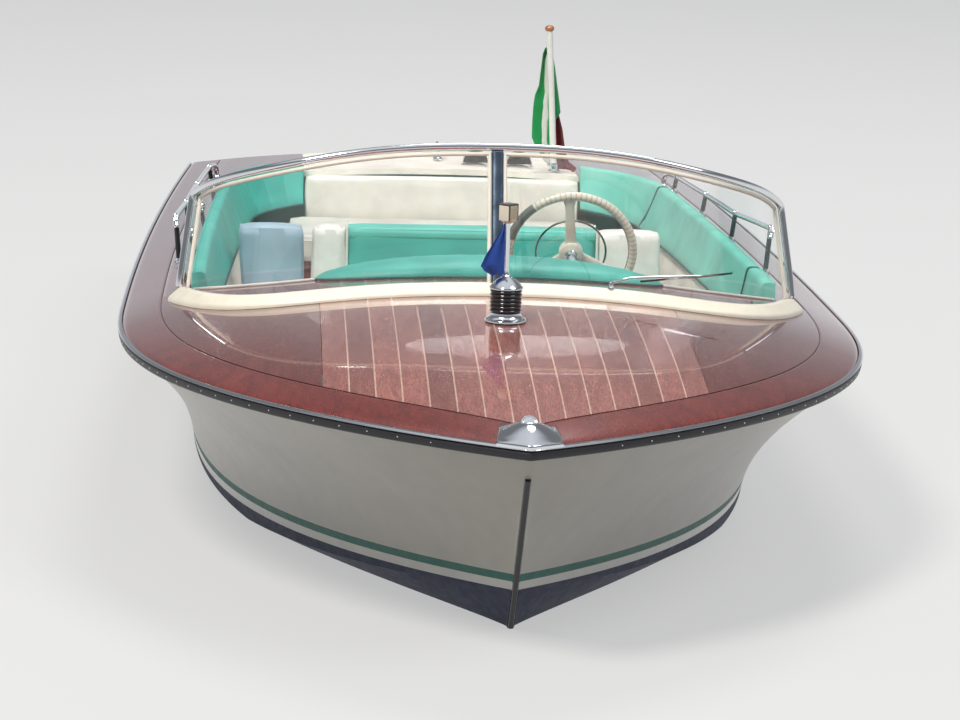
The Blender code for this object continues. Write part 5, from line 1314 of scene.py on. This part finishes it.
def make_wiper():
    share = 0.315 / SCREEN_HALF
    x, station = screen_base(share)
    normal = base_normal(share)
    foot = Vector((x + normal.x * 0.0072, y_of(station + normal.y * 0.0072), deck_height(x, station) + 0.031))
    lathe("wiper_spindle", mm("0 20, 4.5 19.5, 6 17, 6.2 6, 8.5 5, 9.5 3, 9.5 0, 0 0"), foot, CHROME, steps=28,
          replaces=("wiper",))
    head = foot + Vector((0, -0.001, 0.015))
    for i, (lift, tip) in enumerate(((0.0, 0.6), (0.0055, 0.62))):
        run = [head + Vector((0, 0, lift))]
        for part in shares(8)[1:]:
            px = mix(0.335, tip, part)
            run.append(screen_face(px, mix(0.026, 0.068, part) + lift * (1 - part * 0.4), 0.013))
        tube("wiper_arm_%d" % i, run, 0.0016, CHROME, 8)
    blade = [screen_face(mix(0.4, 0.665, part), mix(0.028, 0.08, part), 0.006) for part in shares(14)]
    tube("wiper_blade", blade, 0.0034, RUBBER, 10, squash=0.9)
    spine = [screen_face(mix(0.47, 0.62, part), mix(0.041, 0.071, part), 0.0105) for part in shares(8)]
    tube("wiper_spine", spine, 0.0022, CHROME, 8)


# Helm

def make_dash():
    """The board under the deck's edge, its padded top and the piping round the cockpit's front."""
    rings = []
    outer = [mix(PANEL_HALF, 0.72, share) for share in shares(10)]
    top = deck_height(0.72, 1.92) - DECK_THICKNESS - 0.0007
    inside = [mix(-PANEL_HALF, PANEL_HALF, part) for part in shares(10)[1:-1]]
    for x in [-place for place in reversed(outer)] + inside + outer:
        front = cockpit_front(x) - 0.0207
        z = min(deck_height(x, front), deck_height(x, front + 0.02)) - DECK_THICKNESS - 0.0007
        rings.append([(x, y_of(s), h) for s, h in ((front, z), (front + 0.02, z), (front + 0.02, top - 0.207),
                                                   (front + 0.017, top - 0.21), (front, top - 0.21))])
    skin("dash_board", rings, MAHOGANY, replaces=("dashboard",))
    rings = []
    half, depth, height = 0.5, 0.115, 0.046
    middle = COCKPIT_FRONT + 0.07 - depth * 0.5
    for part in shares(72):
        share = sin((part - 0.5) * pi)
        x = half * share
        size = sqrt(max(1 - abs(share) ** 2.3, 0.02))
        ring = []
        for turn in range(25):
            angle = pi * turn / 24
            s = middle - depth * size * cos(angle)
            wrinkle = 0.0006 * sin(x * 95 + s * 31) * sin(angle)
            z = height * size * sin(angle) ** 0.72 + wrinkle
            ring.append((x, y_of(s), deck_height(x, min(s, COCKPIT_FRONT)) + 0.0009 + z))
        rings.append(ring)
    made = skin("dash_crash_pad", rings, TURQUOISE, sharp=60, replaces=("dash_pad",))
    line = []
    for part in shares(60):
        angle = pi * part
        x = -half * cos(angle) * 1.006
        share = x / half
        size = sqrt(max(1 - min(abs(share), 1) ** 2.3, 0.0))
        s = middle - depth * size
        line.append(on_deck(x, s, 0.0035))
    tube("dash_pad_piping", line, 0.0034, DARK_PIPING, 10)
    edge = []
    for part in shares(90):
        x = mix(-0.846, 0.846, part)
        station = COCKPIT_FRONT if abs(x) < 0.5 else cockpit_front(x)
        edge.append(on_deck(x, station + 0.002, 0.003))
    tube("cockpit_piping", edge, 0.0045, PIPING, 10)


def helm_frame():
    """The wheel's centre, its axis, and the two ways across it."""
    x, station, z = HELM_PLACE
    axis = Vector((0, cos(HELM_SLOPE), sin(HELM_SLOPE)))
    across = Vector((1, 0, 0))
    up = axis.cross(across)
    return Vector((x, y_of(station), z)), axis, across, (up if up.z > 0 else -up)


def ring_bar(name, centre, across, up, axis, radius, thick, look, steps, sides, **more):
    """A round bar bent to a ring about the wheel's axis."""
    rings = []
    for angle in turns(steps):
        out = across * cos(angle) + up * sin(angle)
        rings.append([centre + out * (radius + thick * cos(turn)) + axis * thick * sin(turn)
                      for turn in turns(sides)])
    skin(name, rings, look, closed=False, body="wheel", sharp=70, **more)


def make_wheel():
    centre, axis, across, up = helm_frame()
    steps = WHEEL_NOTCHES * 4

    def band(i):
        degrees = 360 * i / steps
        if 128 < degrees < 166:
            return 2
        return 1 if i % 4 == 0 else 0
    ring_bar("wheel_rim", centre, across, up, axis, WHEEL_RADIUS, 0.0125, [WHEEL, WRAP, WHEEL_GREY], steps, 14,
             by_ring=band, replaces=("steering_wheel",))
    ring_bar("wheel_horn_ring", centre, across, up, axis, 0.105, 0.0032, LENS, 80, 10, slot="white_plastic")
    ring_bar("wheel_inner_line", centre, across, up, axis, 0.1735, 0.0016, CHROME, 96, 8, slot="white_plastic")
    for i, degrees in enumerate((94.0, 214.0, 334.0)):
        angle = radians(degrees)
        out = across * cos(angle) + up * sin(angle)
        flat = axis.cross(out)
        rings = []
        for part in shares(16):
            reach = mix(0.02, 0.184, part)
            width = mix(0.017, 0.0125, part) + 0.01 * max(part - 0.8, 0) / 0.2
            thick = mix(0.0065, 0.005, part)
            middle = centre + out * reach - axis * 0.004 * sin(part * pi)
            rings.append([middle + flat * width * cos(turn) + axis * thick * sin(turn)
                          for turn in turns(16)])
        skin("wheel_spoke_%d" % i, rings, WHEEL, body="wheel")
    lathe("wheel_hub", mm("0 24.5, 12 24, 18.5 21.5, 19.5 20.5, 21 21.2, 30 19, 35 14, 36 6, 35 -16, "
                          "28 -20.5, 0 -21"), centre, WHEEL, axis, 56, body="wheel")
    lathe("wheel_button", mm("0 28.5, 9 27.8, 14.5 25.5, 16 22.5, 16 18"),
          centre, CHROME, axis, 40, body="wheel")
    back = centre - axis * (0.021 + 0.0006)
    face = y_of(COCKPIT_FRONT) - 0.0007
    reach = (back.y - face - 0.0066 - 0.022 * axis.z) / axis.y
    lathe("helm_column", [(0.0, 0.0), (0.018, 0.0), (0.0215, -0.003), (0.0215, -0.018), (0.019, -0.022),
                          (0.019, -reach + 0.03), (0.022, -reach + 0.022), (0.022, -reach), (0.0, -reach)],
          back, CHROME, axis, 40, replaces=("steering_column",))


def make_instruments():
    face = y_of(COCKPIT_FRONT) - 0.0004
    middle = deck_height(0, COCKPIT_FRONT) - DECK_THICKNESS - 0.13 * 0.75
    rounded_box("gauge_board", (-0.36, face, middle - 0.065), (0.36, face + 0.006, middle + 0.065), 0.0025, CREAM,
                replaces=("instrument_panel",))
    for i, share in enumerate((-0.84, -0.5, -0.16, 0.18)):
        centre = Vector((0.36 * share, face + 0.006, middle))
        lathe("gauge_bezel_%d" % i, mm("34 4.5, 35 9, 37.5 11.5, 40.5 11, 42 8, 42 -1"), centre, CHROME, (0, 1, 0))
        lathe("gauge_dial_%d" % i, mm("0 5, 34.5 5, 34.5 1"), centre, DIAL, (0, 1, 0))
        lathe("gauge_pin_%d" % i, mm("0 8, 4 7.5, 4.8 5"), centre, RUBBER, (0, 1, 0),
              steps=20)
        turn = radians(200 - 55 * i)
        tip = Vector((cos(turn) * 0.026, 0.0066, sin(turn) * 0.026))
        tube("gauge_hand_%d" % i, [centre + Vector((0, 0.0066, 0)), centre + tip], 0.001, RUBBER, 6)
        points, faces = [], []
        for k in range(25):
            angle = radians(-40 + 260 * k / 24)
            out = Vector((cos(angle), 0, sin(angle)))
            side = Vector((-sin(angle), 0, cos(angle))) * 0.0005
            near, far = (0.025 if k % 4 == 0 else 0.028), 0.031
            base = len(points)
            for reach, way in ((near, 1), (far, 1), (far, -1), (near, -1)):
                points.append(centre + Vector((0, 0.0053, 0)) + out * reach + side * way)
            faces.append((base, base + 1, base + 2, base + 3))
        build("gauge_marks_%d" % i, points, faces, RUBBER)
    lever_y = y_of(cockpit_front(0.44)) - 0.0004
    low_z = middle - 0.065
    root = Vector((0.44, lever_y + 0.006, low_z))
    tip = root + Vector((0, 0.078, 0.065))
    lathe("throttle_plate", mm("0 18, 7.5 17.5, 11 14, 12 10, 12 0"),
          (0.44, lever_y, low_z), CHROME, (0, 1, 0), 32, replaces=("throttle_lever",))
    tube("throttle_arm", [root, root.lerp(tip, 0.5), tip], [0.0062, 0.0052, 0.0046], CHROME, 12)
    lathe("throttle_knob", mm("0 16, 8 13.8, 13.8 8, 16 0, 13.8 -8, 8 -13.8, 0 -16"), tip, RUBBER,
          (0, 0.77, 0.64), 32)


# Cockpit

def make_seats():
    y0 = y_of(SEAT_STATION)
    y1 = y0 + 0.44
    floor = SOLE + 0.0003
    base = floor + 0.2
    seat = base + 0.0003
    low_y, high_y = y1 + 0.0003, y1 + 0.1103
    # The base uses the grey copy of the cream vinyl, which carries painted shade.
    rounded_box("bench_base", (-SEAT_HALF, y0 + 0.018, floor), (SEAT_HALF, y1 + 0.092, base), 0.008, SHADED_CREAM_VINYL,
                replaces=("front_seat_base",))
    for name, low, high in (("bench_cushion_left", -0.49, -0.02),
                            ("bench_cushion_right", -0.0195, SEAT_HALF)):
        cushion(name, (low, y0, seat), (high, y1, seat + 0.1), TURQUOISE, 0.026, 0.01, 16,
                replaces=("main_seat_cushion",))
    cushion("jump_cushion", (-SEAT_HALF, y0, seat), (-0.521, y1, seat + 0.1), TURQUOISE, 0.02, 0.006, 10,
            replaces=("jump_seat_cushion",))
    for name, low, high, look in (("bench_back_left", -0.49, -0.3785, PALE),
                                  ("bench_back_middle", -0.378, 0.4395, TURQUOISE),
                                  ("bench_back_right", 0.44, 0.65, PALE)):
        cushion(name, (low, low_y, seat), (high, high_y, BACK_TOP), look, 0.03, 0.008, 18, fill=0.8,
                replaces=("main_seat_back",))
    # The top band's lighter turquoise is painted light on the back's top face.
    cushion("bench_back_band", (-0.377, low_y - 0.003, 0.548), (0.4385, high_y + 0.003, 0.5885),
            TOP_LIT_TURQUOISE, 0.018, 0.004, 14, replaces=("main_seat_back",))

    def lean(point):
        share = max((point.z - seat) / (BACK_TOP - seat), 0)
        share = share / 0.75 if share < 0.45 else 0.6 + (share - 0.45) * 0.727
        return Vector((point.x - 0.07 * share * max((-0.52 - point.x) / 0.145, 0), point.y, point.z))
    # The jump seat back's blue-grey is painted shade on white vinyl.
    cushion("jump_back", (-0.665, low_y, seat), (-0.52, high_y, BACK_TOP), BLUE_SHADE_VINYL, 0.028, 0.008, 14, warp=lean,
            replaces=("jump_seat_back",))
    for i, x in enumerate((-0.3782, 0.4398)):
        loop = [(x, low_y - 0.001, seat + 0.02), (x, low_y - 0.001, 0.555), (x, low_y + 0.012, 0.58),
                (x, low_y + 0.055, 0.5865), (x, high_y - 0.012, 0.58), (x, high_y + 0.001, 0.555),
                (x, high_y + 0.001, seat + 0.02)]
        tube("bench_piping_%d" % i, loop, 0.0042, PIPING, 8, 4)

    r0, r1 = y_of(4.46), y_of(4.93)
    # The rear pad's grey is painted shade on cream vinyl.
    cushion("rear_seat_pad", (-0.56, r0, LID_TOP + 0.0003), (0.56, r1, LID_TOP + 0.0953), SHADED_CREAM_VINYL,
            0.028, 0.01, 22, body="engine_cover", replaces=("rear_cushion",))
    back_y = y_of(AFT_FRONT) - 0.0007
    cushion("rear_seat_back", (-0.503, back_y - 0.075, LID_TOP), (0.503, back_y, 0.535), CREAM_VINYL,
            0.024, 0.006, 22, replaces=("rear_backrest",))
    tube("rear_seat_piping_0", [(mix(-0.535, 0.535, part), r0 + 0.001, LID_TOP + 0.078) for part in shares(20)],
         0.0038, PIPING, 8, body="engine_cover")


def coaming_top(share):
    x, station, _ = opening_edge(share)
    return deck_height(x, station) + mix(0.052, 0.04, share)


def coaming_lean(share):
    return mix(0.03, 0.062, min(share / 0.75, 1))


def make_coaming():
    """The pads that lie over the cockpit's edge, with their piping and seams."""
    run = [0.75 * part for part in shares(90)] + [0.75 + 0.25 * part for part in shares(70)[1:]]
    for word, side in SIDES.items():
        rings = []
        feet, tops = [], []
        for share in run:
            x, station, inward = opening_edge(share)
            high = coaming_top(share)
            low = high - COAMING_HEIGHT
            deck = deck_height(x, station) - DECK_THICKNESS
            depth, lean = 0.042, coaming_lean(share)
            puff = 0.0
            if side < 0 and share > 0.62:
                puff = -0.01 * (1 - abs(sin((share - 0.62) / 0.38 * pi * 7)) ** 0.5)
            elif share < 0.75:
                puff = 0.0008 * sin(share * 120)

            def place(out, z):
                return (x + inward[0] * out) * side, y_of(station + inward[1] * out), z
            rings.append([place(out, z) for out, z in (
                           (0.0009, deck), (0.0009, high - 0.016), (0.0035, high - 0.006), (0.01, high - 0.0008),
                           (0.021, high + 0.0006), (0.032 + puff * 0.4, high - 0.0008),
                           (0.039 + puff, high - 0.006), (0.042 + puff, high - 0.015),
                           (depth + lean * 0.16 + puff * 1.2, high - 0.04),
                           (depth + lean * 0.39 + puff * 1.2, high - 0.075),
                           (depth + lean * 0.66 + puff, high - 0.115), (depth + lean + puff * 0.5, low + 0.012),
                           (depth + lean - 0.003, low + 0.003), (depth + lean - 0.011, low),
                           (lean + 0.011, low))])
            feet.append(Vector(place(depth + lean + 0.001, low + 0.006)))
            tops.append(Vector(place(0.0035, high - 0.004)))
        # The port pad takes the lighter turquoise, which is painted sunlight; the starboard pad keeps the plain
        # turquoise.
        look = SUNLIT_TURQUOISE if side > 0 else TURQUOISE
        made = skin("side_pad_" + word, rings, look, sharp=60, replaces=("coaming_pad_" + word,))
        tube("pad_foot_piping_" + word, feet, 0.0038, DARK_PIPING, 8)
        tube("pad_top_piping_" + word, tops, 0.003, look, 8)
        if side > 0:
            for i, share in enumerate((0.1, 0.75)):
                x, station, inward = opening_edge(share)
                high = coaming_top(share)
                lean = coaming_lean(share)
                loop = [(0.002, high - 0.008), (0.012, high), (0.034, high), (0.0435, high - 0.012),
                        (0.042 + lean * 0.42, high - 0.078), (0.042 + lean * 0.99, high - 0.143)]
                tube("pad_seam_%d" % i, [((x + inward[0] * out) * side, y_of(station + inward[1] * out), z)
                                         for out, z in loop], 0.0034, DARK_PIPING, 8, 4)


def bottom_place(station, row):
    start = mix(FOREFOOT, CHINE_START, row)
    share = (station - start) / (LENGTH - start)
    keel_s = mix(FOREFOOT, LENGTH, share)
    chine_s = mix(CHINE_START, LENGTH, share)
    height = mix(keel_height(keel_s), chine_height(chine_s), row) + HULL_WALL
    return (chine_half(chine_s) - HULL_WALL) * row, height


def inner_half(station, height):
    row = solve(lambda share: bottom_place(station, share)[1], height, 0, 1)
    return bottom_place(station, row)[0]


def make_linings():
    for word, side in SIDES.items():
        rings, line = [], []
        for share in shares(30):
            station = mix(2.1, 4.43, share)
            edge = half_breadth(station) - SIDE_DECK_WIDTH
            foot = min(inner_half(station, SOLE), edge) - 0.026
            place = max(station - COAMING_FRONT, 0) / (CORNER_START - COAMING_FRONT) * 0.75
            top_x = edge - coaming_lean(place) - 0.018
            high = coaming_top(place) - COAMING_HEIGHT - 0.0007
            low = SOLE + 0.0003
            y = y_of(station)
            rings.append([(foot * side, y, low), ((foot + 0.012) * side, y, low), ((top_x + 0.012) * side, y, high),
                          (top_x * side, y, high)])
            line.append(Vector(((mix(foot, top_x, 0.72) - 0.002) * side, y, mix(low, high, 0.72))))
        skin("side_panel_" + word, rings, CREAM_VINYL, replaces=("side_lining_" + word,))
        tube("side_panel_line_" + word, line, 0.0032, DARK_PIPING, 8, slot="cream_vinyl")


# Stern fittings and handrails

def make_vents():
    """Two half-round air scoops that open forward."""
    for name, x in (("vent_inner", 0.134), ("vent_outer", 0.297)):
        base = seat_on_deck(x, VENT_STATION + VENT_LENGTH / 2, 0.05, VENT_LENGTH / 2)
        sizes = [(0.0, 1.0), (0.05, 1.0), (0.15, 0.995), (0.3, 0.975), (0.45, 0.92), (0.6, 0.82), (0.72, 0.7),
                 (0.83, 0.54), (0.91, 0.38), (0.97, 0.2), (1.0, 0.06)]
        rings = []

        def arch(share, size, wall):
            half, high = 0.05 * size - wall, 0.06 * size ** 1.1 - wall
            return [(x + half * cos(pi * i / 28), y_of(VENT_STATION + VENT_LENGTH * share),
                     base + max(high, 0.0006) * sin(pi * i / 28) ** 0.9) for i in range(29)]
        for share, size in reversed([pair for pair in sizes if pair[0] <= 0.72]):
            rings.append(arch(min(share + 0.01, 0.7), size, 0.003))
        rings.append(arch(0.0, 1.0, 0.0022))
        rings.append(arch(-0.002, 1.0, 0.001))
        for share, size in sizes:
            rings.append(arch(share, size, 0.0))
        skin("shell_" + name, rings, CHROME, around=False, caps=False, sharp=60, replaces=(name,))
        # A dark disc inside each scoop: painted shade in the vent's mouth.
        points = arch(0.55, 0.88, 0.004)
        build("dark_" + name, points, [tuple(range(len(points)))], VENT_MOUTH_SHADE)
        foot = []
        for i in range(49):
            turn = pi * i / 48
            share = sin(turn) ** 0.9
            foot.append((x + 0.052 * cos(turn) * (1 - 0.12 * share),
                         y_of(VENT_STATION + 0.134 * share), base + 0.0012))
        tube("foot_" + name, foot, 0.0018, CHROME, 8)


def make_cleat():
    y = y_of(CLEAT_STATION)
    base = seat_on_deck(0, CLEAT_STATION, 0.017, 0.055)
    rounded_box("cleat_base", (-0.017, y - 0.055, base), (0.017, y + 0.055, base + 0.006), 0.0028, CHROME,
                replaces=("stern_cleat",))
    top = base + 0.048
    for i, place in enumerate((-1, 1)):
        lathe("cleat_leg_%d" % i, mm("0 48, 7.5 46, 7 30, 7.5 18, 9.5 10, 12.5 6.5, 12.5 5"),
              (0, y + place * 0.0275, base), CHROME, steps=32)
    run = [(0, y + mix(-0.075, 0.075, part), top + 0.004 * abs(2 * part - 1) ** 2) for part in shares(24)]
    sizes = [mix(0.01, 0.0062, abs(2 * part - 1) ** 1.6) for part in shares(24)]
    tube("cleat_horn", run, sizes, CHROME, 18)


def make_flagstaff():
    x, y, high = STAFF_X, y_of(STAFF_STATION), STAFF_HEIGHT
    base = seat_on_deck(x, STAFF_STATION, 0.022) + 0.022 * sin(STAFF_LEAN)
    axis = (-sin(STAFF_LEAN), 0, cos(STAFF_LEAN))
    lathe("staff_pole", [(0.0, high - 0.006), (0.011, high - 0.006), (0.0116, high - 0.03), (0.0122, 0.1),
                         (0.0122, 0.031), (0.0, 0.031)], (x, y, base), POLE, axis, 40,
          replaces=("flagstaff",))
    knob = mm("0 16, 8.5 14.8, 15 10.5, 17.8 4, 16.8 -2, 12.5 -5.8, 0 -5.8")
    lathe("staff_knob", [(radius, high + rise) for radius, rise in knob], (x, y, base), KNOB, axis, 36)
    lathe("staff_socket", mm("12 33, 15.5 32.5, 16.2 30, 16.2 11, 18.5 8, 21.5 5.5, 22 3, 22 0, 0 0"),
          (x, y, base), CHROME, axis, 48)
    up = high - FLAG_BELOW_TOP
    make_flag(x - sin(STAFF_LEAN) * up, y, base + up)


FLAG_LEFT = ((0.0, 0.018), (0.05, 0.026), (0.16, 0.033), (0.34, 0.044), (0.43, 0.06), (0.53, 0.067), (0.67, 0.0725),
             (0.82, 0.076), (0.91, 0.063), (1.0, 0.04))
FLAG_RIGHT = ((0.0, 0.012), (0.15, 0.021), (0.3, 0.027), (0.45, 0.033), (0.55, 0.037), (0.62, 0.018), (1.0, 0.012))
FLAG_RED_EDGE = ((0.0, 0.0), (0.36, 0.012), (0.44, 0.03), (0.6, 0.044), (0.8, 0.052), (0.9, 0.064), (0.96, 0.094),
                 (1.0, 0.082))


def make_flag(x, y, top):
    """A limp flag: the hoist goes left and back behind the staff, and the fly shows low on the right."""
    lean = tan(STAFF_LEAN)

    def curve(down, amount):
        left, right, fly = (between_pairs(table, down) for table in (FLAG_LEFT, FLAG_RIGHT, FLAG_RED_EDGE))
        turns = ((0.0, 0.0), (0.14, -left), (0.31, right), (0.46, -left * 0.75), (0.58, right * 0.5),
                 (0.7, -left * 0.4), (0.93, fly), (1.0, fly * 0.9))

        def at(t):
            for (a, low), (b, high) in zip(turns, turns[1:]):
                if t <= b:
                    part = (t - a) / (b - a)
                    across = mix(low, high, (1 - cos(part * pi)) / 2)
                    break
            deep = amount * (1 - cos(t * pi * 15 + 0.8 * down))
            return across + lean * FLAG_HEIGHT * down, 0.014 + 0.02 * t + deep * min(t * 8, 1)
        return at

    def band(u):
        return 0 if u < 1 / 3 else 1 if u < 2 / 3 else 2
    hung_cloth("flag_sheet", FLAG_WIDTH, FLAG_HEIGHT, 64, 260, curve, (x, y, top),
               [FLAG_GREEN, FLAG_WHITE, FLAG_RED],
                      band, ["staff_pole"], -0.072, replaces=("flag",))
    tube("flag_halyard", [(x - 0.004, y + 0.0128, top + 0.02), (x + lean * 0.2, y + 0.0132, top - 0.2),
                          (x + lean * 0.41, y + 0.0128, top - 0.41)], 0.0013, PIPING, 8, slot="flag_cloth")


def rail_place(station, height, out):
    x = half_breadth(station) - RAIL_INSET + out
    return on_deck(x, station, height)


def make_handrails():
    """A falling bar on each side deck, bent down at its tail, on four posts."""
    stations = [LENGTH * share for share in (0.4772, 0.614, 0.7333, 0.8526)]
    heights = (0.15, 0.10005, 0.07995, 0.06195)
    for word, side in SIDES.items():
        points = [rail_place(stations[0] - 0.035, heights[0] * 0.82, 0.0072),
                  rail_place(stations[0] - 0.021, heights[0] * 0.95, 0.0108)]
        for (s0, h0), (s1, h1) in zip(zip(stations, heights), zip(stations[1:], heights[1:])):
            for share in (0.0, 0.5):
                points.append(rail_place(mix(s0, s1, share), mix(h0, h1, share), RAIL_OUT))
        last = stations[-1]
        points.append(rail_place(last, heights[-1], RAIL_OUT))
        points.append(rail_place(last + 0.12, heights[-1] * 0.9, 0.006))
        points.append(rail_place(last + 0.204, heights[-1] * 0.6, 0))
        points.append(rail_place(last + 0.24, 0.0107, 0))
        tube("rail_bar_" + word, sided(curve_points(points, 7), side), 0.0088, CHROME, 16,
             replaces=("handrail_" + word,))
        lathe("rail_tail_foot_" + word, mm("0 10, 10 9, 15 4, 16 0"),
              Vector((points[-1].x * side, points[-1].y, points[-1].z - 0.0105)), CHROME, steps=32)
        for i, (station, height) in enumerate(zip(stations, heights)):
            foot, head = sided((rail_place(station, 0.0035, 0), rail_place(station, height, RAIL_OUT)), side)
            up = (head - foot).normalized()
            reach = (head - foot).length
            lathe("rail_foot_%s_%d" % (word, i), mm("0 17, 8.8 16.5, 9.4 13, 10.5 8, 14.5 5, 17.8 3.5, "
                                                    "18 1, 17.5 0, 0 0"), foot, CHROME, up, 32)
            lathe("rail_post_%s_%d" % (word, i), [(0.0, reach - 0.004), (0.0078, reach - 0.004), (0.0078, 0.014),
                                                  (0.0, 0.014)], foot, RUBBER, up, 24)
            lathe("rail_eye_%s_%d" % (word, i), mm("9 12.5, 10.6 11.5, 11.2 0, 10.6 -11.5, 9 -12.5"), head, CHROME,
                  (0, 1, 0), 28)


def dress_rest():
    """Materials on the nodes that keep their own shape."""
    plain_nodes = {
        "cockpit_sole": TEAK, "forward_bulkhead": MAHOGANY, "engine_box": MAHOGANY, "engine_lid": MAHOGANY,
        "engine_bearers": MAHOGANY, "engine_block": ENGINE, "propeller": BRONZE, "propeller_shaft": CHROME,
        "shaft_strut": BRONZE, "shaft_log": BRONZE, "rudder": BRONZE, "rudder_boss": BRONZE}
    for name, look in plain_nodes.items():
        node = bpy.data.objects[name]
        node.data.materials.clear()
        node.data.materials.append(look)


for step in (make_camera, make_world, make_stage):
    step()
area_light("key", (-7.0, -10.0, 15.5), (0, -0.5, 0.3), 5.0, 3000, (1.0, 0.97, 0.92))
area_light("fill", (9.0, -6.0, 13.0), (0, 0, 0.3), 7.0, 700, (0.93, 0.96, 1.0))
area_light("back", (2.0, 7.5, 13.5), (0, 0.5, 0.4), 6.0, 900, (1.0, 0.99, 0.97))
for step in (make_hull, make_boards, make_foredeck, make_side_decks, make_aft_deck, make_rails, make_stem,
             make_bow_plate, make_lamp, make_screen, make_wiper, make_dash, make_wheel, make_instruments,
             make_seats, make_coaming, make_linings, make_vents, make_cleat, make_flagstaff, make_handrails,
             dress_rest):
    step()
